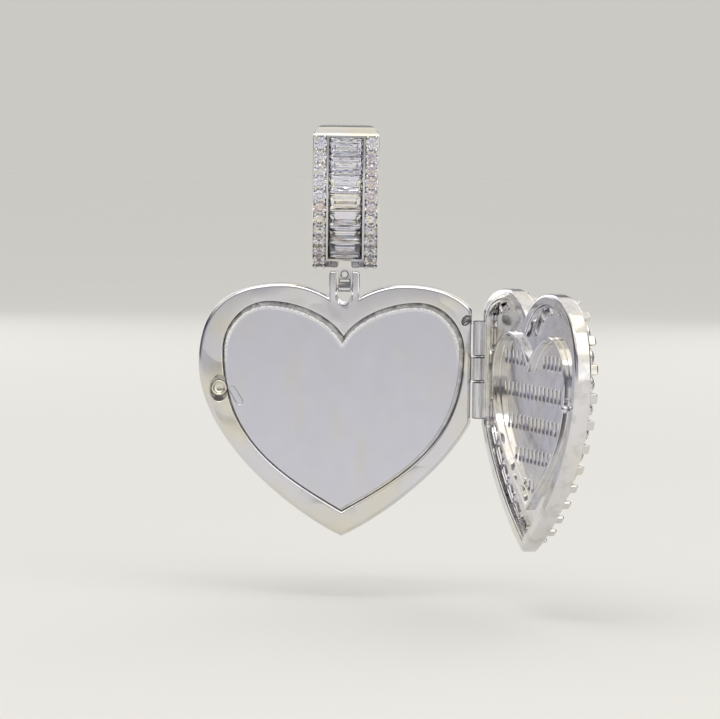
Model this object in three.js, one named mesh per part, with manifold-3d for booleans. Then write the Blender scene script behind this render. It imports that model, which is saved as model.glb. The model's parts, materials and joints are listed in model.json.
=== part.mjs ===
// A heart photo locket that hangs from a stone-set bail, with its lid swung open.
// Millimetres, +Z up, +X to the right, front towards -Y.
// The origin is where the chain bears inside the top of the bail.

import * as THREE from 'three';
import { mergeVertices } from 'three/addons/utils/BufferGeometryUtils.js';
import Module from 'manifold-3d';

const wasm = await Module();
wasm.setup();

// ---------------------------------------------------------------- driving dimensions

const BAGUETTE_LENGTH = 5.0; // across the bail
const BAGUETTE_WIDTH = 2.7; // along the bail
const BAGUETTE_COUNT = 7;
const BAGUETTE_SINK = 0.5; // girdle below the bail's front
const BAIL_ROUND_DIAMETER = 1.9;
const BAIL_ROUND_COUNT = 11;
const BAIL_ROUND_SINK = 0.08;
const BAIL_RAIL = 0.3; // thin wall each side of the baguettes
const BAIL_WIDTH = BAGUETTE_LENGTH + 2 * (BAIL_RAIL + 2.05);
const BAIL_BACK_WIDTH = 6.6;
const BAIL_TOP = 1.6; // wall over the chain
const BAIL_FRONT_WALL = 2.0; // full width only this far behind the stones
const BAIL_EDGE_WALL = 0.1; // outside the round stones
const BAIL_SHOULDER = { top: -0.5, bottom: -6.3, reach: 6 }; // depths where the top narrows
const FOOT_NOTCH = { halfWidth: 1.1, halfDepth: 1.25, above: 1.05 }; // for the link's upper eye
const BAIL_FOOT_Z = -19.6;
const BAIL_PIN_Z = -18.6;
const BAIL_PIN_RADIUS = 0.3;
const BAIL_PIN_HALF = 2.0;
const STONE_GROOVE_DEPTH = { channel: 1.35, column: 0.75 };

const LINK_WIDTH = 1.95;
const LINK_EYE_RADIUS = 0.72;
const LINK_HALF_DEPTH = 0.55;
const HANGER_PIN_Z = -22.5;
const HANGER_PIN_RADIUS = 0.34;
const HANGER_HALF_WIDTH = 2.28;
const HANGER_GAP = 2.28;
const HANGER_BACK = 0.75;
const HANGER_TOP = 9.75; // above the recess cleft
const HANGER_EDGE_ROUND = 0.3;

const HEART_Z = -29.8; // height of the cleft of the heart recess
const PLATE_THICKNESS = 3.0;
const EDGE_ROUND = 0.65; // rounding of the heart's edges
const RECESS_DEPTH = 0.95;
const PHOTO_PLATE_THICKNESS = 0.45;
const PHOTO_PLATE_GAP = 0.45;
const PHOTO_PLATE_SLIP = { x: -0.22, z: -0.2 }; // it lies against the lower left of the recess
const LID_DEPTH = 2.4;
const LID_OPEN_ANGLE = THREE.MathUtils.degToRad(107);

const HINGE_X = 20.1;
const HINGE_SIDE_X = 19.0; // the heart is trimmed flat here for the hinge
const KNUCKLE_RADIUS = 0.95;
const HINGE_PIN_RADIUS = 0.36;
const RUNNING_CLEARANCE = 0.06; // pin to eye, on the radius
const SEAM = 0.05; // between parts that meet

const HALO_STONE_DIAMETER = 3.2;
const HALO_PITCH = 3.55;
const HALO_INSET = 2.35; // stone centres, in from the heart's edge
const HALO_GIRDLE_RISE = 0.35; // girdles stand proud of the lid's front wall
const HALO_HOLE_RADIUS = 0.62;
const CLAW = { halfWidth: 0.74, halfThickness: 0.36, corner: 0.2, length: 2.2, proud: 1.2, outward: 1.76 };
const SLOT_WIDTH = 0.75;
const SLOT_PITCH = 1.65;

const MATING_Y = -PLATE_THICKNESS / 2; // plane where plate and lid meet
const PLATE_FRONT = MATING_Y + SEAM;
const PLATE_BACK = PLATE_THICKNESS / 2;

const LATCH = { x: -18.4, z: -7.8 }; // beside the left edge, from the recess cleft
const SOCKET_OUTER = 1.17;
const SOCKET_INNER = 0.8;
const POCKET = { halfWidth: 1.7, halfHeight: 2.3, depth: 0.85 }; // oval, round the socket
const LATCH_PEG = { neck: 0.4, ballRadius: 0.58, proud: 0.35 }; // ball centre past the mating plane
const PRY_NOTCH = { x: 2.5, z: -1.1, radius: 0.6, length: 2.0, lean: 31 }; // from the latch

// Heart outlines as their right half, from cleft to tip. Each is three Bezier arcs:
// cleft to top of the lobe, top to widest point, widest point to tip.
const HEART_EDGE = {
  cleft: [0, 4.3],
  arcs: [
    [1.4, 5.9, 5.2, 7.9, 9.0, 7.9],
    [18.0, 7.9, 21.5, 3.4, 21.5, -3.8],
    [21.5, -16.4, 5.2, -27.4, 0, -29.6],
  ],
};
const HEART_RECESS = {
  cleft: [0, 0],
  arcs: [
    [1.9, 3.1, 6.8, 5.15, 11.0, 5.15],
    [15.0, 5.15, 17.9, 1.6, 17.9, -2.0],
    [17.9, -15.5, 9.4, -20.6, 0, -26.0],
  ],
};
const LID_PANEL = {
  cleft: [0, -3.7],
  arcs: [
    [1.6, -1.2, 5.2, 1.2, 8.6, 1.2],
    [12.2, 1.2, 15.1, -1.4, 15.1, -5.0],
    [15.1, -14.0, 5.4, -18.6, 0, -22.9],
  ],
};

// Rows of upright stones on the lid: middle height and the two ends of the row.
const STONE_ROWS = [
  { name: 'upper_left', z: -2.1, from: -13.2, to: -3.3 },
  { name: 'upper_right', z: -2.1, from: 3.3, to: 13.2 },
  { name: 'second', z: -6.75, from: -13.2, to: 13.2 },
  { name: 'third', z: -11.4, from: -11.6, to: 11.6 },
  { name: 'fourth', z: -16.0, from: -8.2, to: 8.2 },
  { name: 'fifth', z: -20.4, from: -4.1, to: 4.1 },
];
const SLOT_LENGTH = 2.1;
const SLOT_MARGIN = 0.3; // from a slot to the panel's edge, at least
const ROW_STONE = { length: 4.2, girdle: 0.5, table: 1.1 }; // heights from the lid's panel

// ---------------------------------------------------------------- materials

const rhodium = new THREE.MeshStandardMaterial({ color: 0xcdccd2, roughness: 0.12, metalness: 1 });
const satinRhodium = new THREE.MeshStandardMaterial({ color: 0xc4c3cd, roughness: 0.3, metalness: 1 });
const steelPin = new THREE.MeshStandardMaterial({ color: 0xb9b6ae, roughness: 0.25, metalness: 1 });
const clearStone = new THREE.MeshStandardMaterial({ color: 0xe9edf6, roughness: 0.04, metalness: 0 });

// ---------------------------------------------------------------- solids

// A closed manifold solid from a three.js geometry.
function solid(geometry) {
  const bare = geometry.clone();
  bare.deleteAttribute('normal');
  bare.deleteAttribute('uv');
  const merged = mergeVertices(bare, 1e-4);
  const corners = merged.index.array;
  const kept = [];
  for (let i = 0; i < corners.length; i += 3) {
    const [a, b, c] = [corners[i], corners[i + 1], corners[i + 2]];
    if (a !== b && b !== c && c !== a) kept.push(a, b, c);
  }
  return new wasm.Manifold(new wasm.Mesh({
    numProp: 3,
    vertProperties: new Float32Array(merged.attributes.position.array),
    triVerts: new Uint32Array(kept),
  }));
}

function geometryOf(body) {
  const result = body.getMesh();
  const geometry = new THREE.BufferGeometry();
  geometry.setAttribute('position', new THREE.BufferAttribute(result.vertProperties, 3));
  geometry.setIndex(new THREE.BufferAttribute(result.triVerts, 1));
  geometry.computeVertexNormals();
  return geometry;
}

function piece(name, shape, material, parent) {
  const geometry = shape.isBufferGeometry ? shape : geometryOf(shape);
  const mesh = new THREE.Mesh(geometry, material);
  mesh.name = name;
  parent.add(mesh);
  return mesh;
}

// ---------------------------------------------------------------- outlines

const ARC_STEPS = 10;

function halfHeart(spec, steps = ARC_STEPS) {
  const path = new THREE.Path();
  path.moveTo(...spec.cleft);
  for (const arc of spec.arcs) path.bezierCurveTo(...arc);
  return path.getPoints(steps);
}

// Moves a half heart inwards by a distance, closing it on the middle line at both ends.
function insetHalf(points, distance) {
  const moved = points.map((point, i) => {
    const before = points[Math.max(i - 1, 0)];
    const after = points[Math.min(i + 1, points.length - 1)];
    const along = after.clone().sub(before).normalize();
    return new THREE.Vector2(point.x + along.y * distance, point.y - along.x * distance);
  });
  const inside = moved.filter((point) => point.x > 1e-3);
  const onMiddle = (near, next) => {
    const slope = (next.y - near.y) / (next.x - near.x);
    return new THREE.Vector2(0, near.y - slope * near.x);
  };
  const top = onMiddle(inside[0], inside[1]);
  const tip = onMiddle(inside.at(-1), inside.at(-2));
  return [top, ...inside, tip];
}

// The full outline, with the right side trimmed flat at sideX.
function heartOutline(half, sideX = Infinity) {
  const right = half.map((point) => new THREE.Vector2(Math.min(point.x, sideX), point.y));
  const left = half.slice(1, -1).reverse().map((point) => new THREE.Vector2(-point.x, point.y));
  const loop = [...right, ...left];
  return loop.filter((point, i) => {
    const before = loop[(i + loop.length - 1) % loop.length];
    const after = loop[(i + 1) % loop.length];
    return !(point.x === sideX && before.x === sideX && after.x === sideX);
  });
}

// A plate between two depths (y), from an outline drawn in x and z.
function plate(outline, frontY, backY, round = 0, holes = []) {
  const shape = new THREE.Shape(outline);
  shape.holes = holes.map((hole) => new THREE.Path(hole));
  const geometry = new THREE.ExtrudeGeometry(shape, {
    depth: backY - frontY - 2 * round,
    bevelEnabled: round > 0,
    bevelThickness: round,
    bevelSize: round,
    bevelOffset: -round,
    bevelSegments: 2,
  });
  geometry.rotateX(Math.PI / 2);
  geometry.translate(0, backY - round, 0);
  return solid(geometry);
}

function rectangle(x0, z0, x1, z1) {
  return [[x0, z0], [x1, z0], [x1, z1], [x0, z1]].map(([x, z]) => new THREE.Vector2(x, z));
}

// A round or, with its own half height, an oval outline.
function disc(x, z, halfWidth, sides, halfHeight = halfWidth) {
  return Array.from({ length: sides }, (_, i) => {
    const turn = (2 * Math.PI * (i + 0.5)) / sides;
    return new THREE.Vector2(x + halfWidth * Math.cos(turn), z + halfHeight * Math.sin(turn));
  });
}

// A round bar or hole along one axis, centred on the origin of that axis.
function bar(radius, length, axis, sides = 14) {
  const geometry = new THREE.CylinderGeometry(radius, radius, length, sides);
  if (axis === 'x') geometry.rotateZ(Math.PI / 2);
  if (axis === 'z') geometry.rotateX(Math.PI / 2);
  return geometry;
}

function box(x0, y0, z0, x1, y1, z1) {
  const geometry = new THREE.BoxGeometry(x1 - x0, y1 - y0, z1 - z0);
  return geometry.translate((x0 + x1) / 2, (y0 + y1) / 2, (z0 + z1) / 2);
}

// Points at equal steps along a line of points, each with the direction of travel there.
function spaced(points, count, start = 0.5) {
  const lengths = [0];
  for (let i = 1; i < points.length; i += 1) {
    lengths.push(lengths[i - 1] + points[i].distanceTo(points[i - 1]));
  }
  const pitch = lengths.at(-1) / count;
  return Array.from({ length: count }, (_, n) => {
    const reach = (n + start) * pitch;
    const i = Math.max(1, lengths.findIndex((length) => length >= reach));
    const share = (reach - lengths[i - 1]) / (lengths[i] - lengths[i - 1]);
    return {
      at: points[i - 1].clone().lerp(points[i], share),
      along: points[i].clone().sub(points[i - 1]).normalize(),
    };
  });
}

// ---------------------------------------------------------------- stones

// A cut stone with its table up +Y: a round brilliant, or a step cut when it has four sides.
function cutStone(sides, radius, crown, pavilion) {
  const profile = [
    [0, -pavilion],
    [radius, -0.06],
    [radius, 0.06],
    [radius * 0.6, crown],
    [0, crown],
  ].map(([r, y]) => new THREE.Vector2(r, y));
  return new THREE.LatheGeometry(profile, sides);
}

function stepCut(length, width, crown, pavilion) {
  const geometry = cutStone(4, Math.SQRT1_2, crown, pavilion);
  geometry.rotateY(Math.PI / 4);
  return geometry.scale(length, 1, width);
}

// ---------------------------------------------------------------- bail

// The bail is drawn in depth (y) and height (z) and runs across x.
const bailFront = new THREE.CubicBezierCurve(
  new THREE.Vector2(-6.6, 0),
  new THREE.Vector2(-7.1, -8.0),
  new THREE.Vector2(-7.0, -13.2),
  new THREE.Vector2(-0.1, BAIL_FOOT_Z),
);
const FRONT_STEPS = 16;

// The front curve moved along its normal, outwards when the distance is positive.
function frontLine(distance, from = 0, to = 1) {
  return Array.from({ length: FRONT_STEPS + 1 }, (_, i) => {
    const t = from + ((to - from) * i) / FRONT_STEPS;
    const along = bailFront.getTangent(t);
    const point = bailFront.getPoint(t);
    return new THREE.Vector2(point.x + along.y * distance, point.y - along.x * distance);
  });
}

// An outline in y and z, extruded across x about the middle plane.
function across(outline, x0, x1, holes = []) {
  const shape = new THREE.Shape(outline);
  shape.holes = holes;
  const geometry = new THREE.ExtrudeGeometry(shape, { depth: x1 - x0, bevelEnabled: false });
  geometry.rotateX(Math.PI / 2);
  geometry.rotateZ(Math.PI / 2);
  return solid(geometry.translate(x0, 0, 0));
}

// A groove of some depth in the front of the bail, between two places along it.
function frontGroove(x0, x1, depth, from, to) {
  const outline = [...frontLine(1, from, to), ...frontLine(-depth, from, to).reverse()];
  return across(outline, x0, x1);
}

// Where the stone grooves start and stop, as shares of the front curve.
const CHANNEL = [0.012, 0.93];
const COLUMN = [0.006, 0.992];
const ROUND_X = BAGUETTE_LENGTH / 2 + BAIL_RAIL + BAIL_ROUND_DIAMETER / 2 + 0.03;

function bailLoop() {
  const outer = new THREE.Path();
  outer.moveTo(-0.1, BAIL_FOOT_Z);
  outer.lineTo(1.1, BAIL_FOOT_Z);
  outer.bezierCurveTo(4.0, -16.0, 4.6, -11.0, 4.4, -6.0);
  outer.bezierCurveTo(4.3, -1.5, 2.6, BAIL_TOP, 0, BAIL_TOP);
  outer.bezierCurveTo(-2.6, BAIL_TOP, -5.6, 1.4, -6.6, 0);
  const outline = [...outer.getPoints(8), ...frontLine(0).slice(1, -1)];

  const inner = new THREE.Path();
  inner.moveTo(0, 0);
  inner.bezierCurveTo(-2.4, 0, -4.4, -0.6, -4.6, -2.4);
  inner.bezierCurveTo(-4.9, -8.0, -4.8, -12.4, 0.4, -17.5);
  inner.bezierCurveTo(2.2, -15.6, 3.3, -11.0, 3.2, -6.0);
  inner.bezierCurveTo(3.1, -2.0, 2.0, 0, 0, 0);
  const hollow = new THREE.Path(inner.getPoints(8).slice(0, -1));

  const half = BAIL_WIDTH / 2;
  let loop = across(outline, -half, half, [hollow]);
  const wallLine = [...frontLine(1), ...frontLine(-BAIL_FRONT_WALL).reverse()];
  const frontWall = across(wallLine, -half - 2, half + 2);
  const back = BAIL_BACK_WIDTH / 2;
  const wide = half + 1; // clear of the loop
  const { top, bottom, reach } = BAIL_SHOULDER;
  for (const side of [-1, 1]) {
    // narrower over the top and down the back
    const shoulder = [[back, top], [half + 0.01, bottom], [wide, bottom], [wide, reach], [back, reach]];
    const wedge = new THREE.Shape(shoulder.map(([x, y]) => new THREE.Vector2(side * x, y)));
    const cap = new THREE.ExtrudeGeometry(wedge, { depth: 2 * BAIL_TOP, bevelEnabled: false });
    loop = loop.subtract(solid(cap.translate(0, 0, -0.15)));
    const flank = side > 0 ? [back, wide] : [-wide, -back];
    const behind = solid(box(flank[0], -reach, BAIL_FOOT_Z - 1, flank[1], reach, 0.5));
    loop = loop.subtract(behind.subtract(frontWall));
    // column for the round stones
    const inside = BAGUETTE_LENGTH / 2 + BAIL_RAIL;
    const outside = half - BAIL_EDGE_WALL;
    const column = side > 0 ? [inside, outside] : [-outside, -inside];
    loop = loop.subtract(frontGroove(...column, STONE_GROOVE_DEPTH.column, ...COLUMN));
  }
  const channel = BAGUETTE_LENGTH / 2 + SEAM;
  loop = loop.subtract(frontGroove(-channel, channel, STONE_GROOVE_DEPTH.channel, ...CHANNEL));

  // foot: a notch for the link's eye and a hole for its pin
  const { halfWidth, halfDepth, above } = FOOT_NOTCH;
  const notch = box(-halfWidth, -halfDepth, BAIL_FOOT_Z - 1, halfWidth, halfDepth, BAIL_PIN_Z + above);
  loop = loop.subtract(solid(notch));
  const pinHole = bar(BAIL_PIN_RADIUS + 0.02, 2 * BAIL_PIN_HALF, 'x');
  return loop.subtract(solid(pinHole.translate(0, 0, BAIL_PIN_Z)));
}

// Places for a row of stones down the bail, with their girdles sunk below its front.
function frontPlaces(count, sink, [from, to]) {
  return spaced(frontLine(-sink, from, to), count);
}

// Turns a stone so that its table faces out of the bail's front at a place along it.
function seatOnFront(mesh, place, x) {
  mesh.position.set(x, place.at.x, place.at.y);
  mesh.rotation.x = Math.atan2(-place.along.x, place.along.y);
}

function bail(parent) {
  piece('bail_loop', bailLoop(), rhodium, parent);
  frontPlaces(BAGUETTE_COUNT, BAGUETTE_SINK, CHANNEL).forEach((place, i) => {
    const stone = stepCut(BAGUETTE_LENGTH - 0.05, BAGUETTE_WIDTH, 0.5, 0.75);
    seatOnFront(piece(`bail_baguette_${i + 1}`, stone, clearStone, parent), place, 0);
  });
  for (const [side, sign] of [['left', -1], ['right', 1]]) {
    frontPlaces(BAIL_ROUND_COUNT, BAIL_ROUND_SINK, COLUMN).forEach((place, i) => {
      const stone = cutStone(8, BAIL_ROUND_DIAMETER / 2, 0.35, 0.6);
      const name = `bail_round_${side}_${String(i + 1).padStart(2, '0')}`;
      seatOnFront(piece(name, stone, clearStone, parent), place, sign * ROUND_X);
    });
  }
  const pin = bar(BAIL_PIN_RADIUS, 2 * BAIL_PIN_HALF - 0.1, 'x');
  piece('bail_pin', pin, steelPin, parent).position.z = BAIL_PIN_Z;
}

// ---------------------------------------------------------------- link and hanger

function connectorLink() {
  const half = LINK_WIDTH / 2;
  const through = 2 * LINK_WIDTH;
  let link = solid(box(-half, -LINK_HALF_DEPTH, HANGER_PIN_Z, half, LINK_HALF_DEPTH, BAIL_PIN_Z));
  for (const [z, pinRadius] of [[BAIL_PIN_Z, BAIL_PIN_RADIUS], [HANGER_PIN_Z, HANGER_PIN_RADIUS]]) {
    const eye = bar(LINK_EYE_RADIUS, LINK_WIDTH, 'x', 16).translate(0, 0, z);
    const hole = bar(pinRadius + RUNNING_CLEARANCE, through, 'x').translate(0, 0, z);
    link = link.add(solid(eye)).subtract(solid(hole));
  }
  // a round window, and a slot above the lower eye
  const windowZ = HANGER_PIN_Z + 1.95;
  const slotHalf = 0.72;
  link = link.subtract(solid(bar(0.45, through, 'y', 12).translate(0, 0, windowZ)));
  return link.subtract(solid(box(-slotHalf, -half, windowZ - 1.1, slotHalf, half, windowZ - 0.75)));
}

// Two posts that stand on the plate's cleft, with a slot between them.
function hangerBlock() {
  const top = HANGER_TOP;
  const root = 3.0; // inside the plate, above the recess cleft
  const corner = 0.4;
  const half = HANGER_HALF_WIDTH;
  const outline = [
    [-half, root], [half, root], [half, top - corner], [half - corner, top],
    [-half + corner, top], [-half, top - corner],
  ].map(([x, z]) => new THREE.Vector2(x, z));
  return plate(outline, PLATE_FRONT, HANGER_BACK, HANGER_EDGE_ROUND);
}

function hangerSlot() {
  const half = HANGER_GAP / 2;
  const outline = [[-half, 12], [-half, 6.1], [0, 5.2], [half, 6.1], [half, 12]];
  return plate(outline.reverse().map(([x, z]) => new THREE.Vector2(x, z)), -4, 4);
}

// ---------------------------------------------------------------- heart plate

function backPlate() {
  const edge = heartOutline(halfHeart(HEART_EDGE), HINGE_SIDE_X);
  const recess = heartOutline(halfHeart(HEART_RECESS));
  let body = plate(edge, PLATE_FRONT, PLATE_BACK, EDGE_ROUND);
  body = body.add(hangerBlock()).subtract(hangerSlot());
  body = body.subtract(plate(recess, PLATE_FRONT - 1, PLATE_FRONT + RECESS_DEPTH));
  const pocket = disc(LATCH.x, LATCH.z, POCKET.halfWidth, 20, POCKET.halfHeight);
  body = body.subtract(plate(pocket, PLATE_FRONT - 1, PLATE_FRONT + POCKET.depth));
  const pinHole = bar(HANGER_PIN_RADIUS + 0.02, 2 * HANGER_HALF_WIDTH - 0.5, 'x');
  return body.subtract(solid(pinHole.translate(0, 0, HANGER_PIN_Z - HEART_Z)));
}

function photoPlate() {
  const recess = halfHeart(HEART_RECESS);
  const outline = heartOutline(insetHalf(recess, PHOTO_PLATE_GAP));
  for (const point of outline) point.add(new THREE.Vector2(PHOTO_PLATE_SLIP.x, PHOTO_PLATE_SLIP.z));
  const back = PLATE_FRONT + RECESS_DEPTH - SEAM;
  const front = back - PHOTO_PLATE_THICKNESS;
  let insert = plate(outline, front, back);
  const clearOfSocket = disc(LATCH.x, LATCH.z, SOCKET_OUTER + 0.2, 20);
  insert = insert.subtract(plate(clearOfSocket, front - 1, back + 1));
  // a shallow notch for a fingernail
  const notch = new THREE.CapsuleGeometry(PRY_NOTCH.radius, PRY_NOTCH.length, 3, 10);
  notch.rotateY(Math.PI / 10).rotateX(Math.PI / 2);
  notch.rotateY(THREE.MathUtils.degToRad(-PRY_NOTCH.lean));
  notch.translate(LATCH.x + PRY_NOTCH.x, front - PRY_NOTCH.radius / 2, LATCH.z + PRY_NOTCH.z);
  return insert.subtract(solid(notch));
}

function latchSocket() {
  const floor = PLATE_FRONT + POCKET.depth - SEAM;
  const outer = disc(LATCH.x, LATCH.z, SOCKET_OUTER, 20);
  const hole = disc(LATCH.x, LATCH.z, SOCKET_INNER, 20).reverse();
  return plate(outer, PLATE_FRONT + 0.05, floor, 0, [hole]);
}

// ---------------------------------------------------------------- hinge

const KNUCKLES = {
  upper: [-2.6, 2.8],
  middle: [-6.3, -2.6],
  lower: [-11.9, -6.3],
};
const KNUCKLE_GAP = 0.12;

// A knuckle with a leaf that reaches to the flat side of the heart, behind or before the seam.
function knuckle([low, high], leafFront, leafBack) {
  const [z0, z1] = [low + KNUCKLE_GAP / 2, high - KNUCKLE_GAP / 2];
  const middle = (z0 + z1) / 2;
  const barrel = bar(KNUCKLE_RADIUS, z1 - z0, 'z', 18).translate(HINGE_X, MATING_Y, middle);
  const leaf = box(HINGE_SIDE_X + 0.04, leafFront, z0, HINGE_X, leafBack, z1);
  const hole = bar(HINGE_PIN_RADIUS + RUNNING_CLEARANCE, 2 * (z1 - z0), 'z');
  hole.translate(HINGE_X, MATING_Y, middle);
  return solid(barrel).add(solid(leaf)).subtract(solid(hole));
}

function hingePin() {
  const low = KNUCKLES.lower[0] + 0.15;
  const high = KNUCKLES.upper[1] - 0.15;
  const pin = bar(HINGE_PIN_RADIUS, high - low, 'z');
  return pin.translate(HINGE_X, MATING_Y, (low + high) / 2);
}

// ---------------------------------------------------------------- lid

const LID_BACK = MATING_Y - SEAM; // rim face, towards the plate
const LID_FRONT = LID_BACK - LID_DEPTH;
const LID_SHEET = 0.5; // thickness of the gutter's and the panel's floors
const RIM_WIDTH = 1.5;
const INNER_RIM_WIDTH = 0.4;
const GUTTER_DEPTH = 1.3;
const RIDGE_DROP = 0.45; // the inner ridge lies this far below the rim
const RIDGE_WIDTH = 0.55;
const PANEL_DEPTH = 1.6;
const HALO_WALL = { outer: 0.5, inner: 0.35 }; // walls each side of the halo's channel
const HALO_FLOOR = LID_BACK - GUTTER_DEPTH - LID_SHEET;
const PANEL_FRONT = LID_BACK - PANEL_DEPTH - LID_SHEET;
const HALO_GIRDLE = LID_FRONT - HALO_GIRDLE_RISE;

// The lid's edge moved inwards, with the hinge side kept parallel to its flat.
function lidInset(distance, steps) {
  return heartOutline(insetHalf(halfHeart(HEART_EDGE, steps), distance), HINGE_SIDE_X - distance);
}

// The stone-set panel's outline moved outwards.
function panelOutset(distance) {
  return heartOutline(insetHalf(halfHeart(LID_PANEL), -distance));
}

// The line through the middles of the halo stones, all round the heart.
function haloLine() {
  const outline = lidInset(HALO_INSET, 24);
  return [...outline, outline[0]];
}

const haloPlaces = (() => {
  const line = haloLine();
  const length = line.reduce((sum, p, i) => (i ? sum + p.distanceTo(line[i - 1]) : 0), 0);
  return spaced(line, 2 * Math.round(length / HALO_PITCH / 2), 0.5);
})();

function slotPlaces(row) {
  const count = Math.round((row.to - row.from) / SLOT_PITCH);
  const pitch = (row.to - row.from) / count;
  return Array.from({ length: count }, (_, i) => row.from + (i + 0.5) * pitch);
}

function lidShell() {
  const edge = heartOutline(halfHeart(HEART_EDGE), HINGE_SIDE_X);
  const cavity = lidInset(RIM_WIDTH);
  const panel = heartOutline(halfHeart(LID_PANEL));
  const ridge = panelOutset(RIDGE_WIDTH);
  const channelIn = panelOutset(HALO_WALL.inner);
  const channelOut = lidInset(HALO_WALL.outer);

  let body = plate(edge, LID_FRONT, LID_BACK, EDGE_ROUND - 0.1);
  body = body.subtract(plate(cavity, LID_BACK - RIDGE_DROP, LID_BACK + 1));
  body = body.subtract(plate(cavity, LID_BACK - GUTTER_DEPTH, LID_BACK, 0, [ridge.reverse()]));
  body = body.subtract(plate(panel, LID_BACK - PANEL_DEPTH, LID_BACK));
  const channel = plate(channelOut, LID_FRONT - 1, HALO_FLOOR, 0, [channelIn.reverse()]);
  body = body.subtract(channel);
  body = body.subtract(plate(panel, LID_FRONT - 1, PANEL_FRONT));

  // one hole under each halo stone and one slot under each upright stone
  for (const { at } of haloPlaces) {
    const hole = disc(at.x, at.y, HALO_HOLE_RADIUS, 6);
    body = body.subtract(plate(hole, HALO_FLOOR - 0.2, LID_BACK - RIDGE_DROP));
  }
  const slotLimit = heartOutline(insetHalf(halfHeart(LID_PANEL), SLOT_MARGIN));
  const slotField = plate(slotLimit, LID_FRONT - 1, LID_BACK);
  for (const row of STONE_ROWS) {
    for (const x of slotPlaces(row)) {
      const slot = rectangle(
        x - SLOT_WIDTH / 2, row.z - SLOT_LENGTH / 2, x + SLOT_WIDTH / 2, row.z + SLOT_LENGTH / 2,
      );
      const cut = plate(slot, PANEL_FRONT - 0.2, LID_BACK - 1);
      body = body.subtract(cut.intersect(slotField));
    }
  }
  return body;
}

function lidInnerRim() {
  const outer = lidInset(RIM_WIDTH + SEAM);
  const inner = lidInset(RIM_WIDTH + INNER_RIM_WIDTH);
  return plate(outer, LID_BACK - GUTTER_DEPTH + SEAM, LID_BACK - 0.15, 0, [inner.reverse()]);
}

function latchPeg() {
  const foot = LID_BACK - GUTTER_DEPTH + SEAM;
  const { neck, ballRadius, proud } = LATCH_PEG;
  const ball = MATING_Y + proud - foot;
  const profile = [[0, 0], [neck + 0.06, 0], [neck, 0.5], [neck, ball - 0.5]];
  const steps = 6;
  const lowest = -0.65; // radians, where the ball meets the neck
  for (let i = 0; i <= steps; i += 1) {
    const turn = lowest + ((Math.PI / 2 - lowest) * i) / steps;
    profile.push([i === steps ? 0 : ballRadius * Math.cos(turn), ball + ballRadius * Math.sin(turn)]);
  }
  const geometry = new THREE.LatheGeometry(profile.map(([r, y]) => new THREE.Vector2(r, y)), 14);
  return geometry.translate(LATCH.x, foot, LATCH.z);
}

// The large round stones, carried on one thin rail that runs under their girdles.
function haloStones() {
  const railHalf = 0.3;
  const outside = lidInset(HALO_INSET - railHalf);
  const inside = lidInset(HALO_INSET + railHalf).reverse();
  let ring = plate(outside, HALO_GIRDLE - 0.15, HALO_GIRDLE + 0.25, 0, [inside]);
  for (const { at } of haloPlaces) {
    const stone = cutStone(8, HALO_STONE_DIAMETER / 2, 0.75, 1.1).rotateX(Math.PI);
    ring = ring.add(solid(stone.translate(at.x, HALO_GIRDLE, at.y)));
  }
  return ring;
}

// A row of upright step-cut stones, side by side on one strip.
function stoneRow(row) {
  const places = slotPlaces(row);
  const pitch = places[1] - places[0];
  const back = PANEL_FRONT - SEAM;
  const girdle = back - ROW_STONE.girdle;
  const table = back - ROW_STONE.table;
  const outline = [new THREE.Vector2(row.from, back)];
  outline.push(new THREE.Vector2(row.to, back));
  for (const x of [...places].reverse()) {
    outline.push(new THREE.Vector2(x + pitch / 2, girdle));
    outline.push(new THREE.Vector2(x + pitch / 4, table));
    outline.push(new THREE.Vector2(x - pitch / 4, table));
  }
  outline.push(new THREE.Vector2(row.from, girdle));
  const shape = new THREE.Shape(outline);
  const geometry = new THREE.ExtrudeGeometry(shape, { depth: ROW_STONE.length, bevelEnabled: false });
  const uncut = solid(geometry.translate(0, 0, row.z - ROW_STONE.length / 2));
  const panel = heartOutline(insetHalf(halfHeart(LID_PANEL), SEAM));
  return uncut.intersect(plate(panel, back - 2, back + 1));
}

// Wide claws on the lid's outer wall, one between each two halo stones.
function haloClaws(body) {
  const { halfWidth, halfThickness, corner } = CLAW;
  const section = [
    [-halfWidth, -halfThickness], [halfWidth, -halfThickness],
    [halfWidth, halfThickness - corner], [halfWidth - corner, halfThickness],
    [corner - halfWidth, halfThickness], [-halfWidth, halfThickness - corner],
  ];
  let result = body;
  haloPlaces.forEach(({ at, along }, i) => {
    const next = haloPlaces[(i + 1) % haloPlaces.length];
    const tangent = along.clone().add(next.along).normalize();
    const outward = new THREE.Vector2(-tangent.y, tangent.x);
    const centre = at.clone().add(next.at).multiplyScalar(0.5).addScaledVector(outward, CLAW.outward);
    const outline = section.map(([u, v]) => {
      return centre.clone().addScaledVector(tangent, u).addScaledVector(outward, v);
    });
    const front = LID_FRONT - CLAW.proud;
    result = result.add(plate(outline, front, front + CLAW.length));
  });
  return result;
}

function lid(parent) {
  piece('lid_shell', haloClaws(lidShell()), rhodium, parent);
  piece('lid_inner_rim', lidInnerRim(), rhodium, parent);
  piece('latch_peg', latchPeg(), rhodium, parent);
  piece('halo_stones', haloStones(), clearStone, parent);
  for (const row of STONE_ROWS) {
    piece(`lid_stones_${row.name}`, stoneRow(row), clearStone, parent);
  }
  for (const end of ['upper', 'lower']) {
    const shape = knuckle(KNUCKLES[end], MATING_Y - KNUCKLE_RADIUS, MATING_Y - 0.1);
    piece(`lid_knuckle_${end}`, shape, rhodium, parent);
  }
}

// ---------------------------------------------------------------- assembly

const locket = new THREE.Group();

bail(locket);
piece('connector_link', connectorLink(), rhodium, locket);

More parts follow.
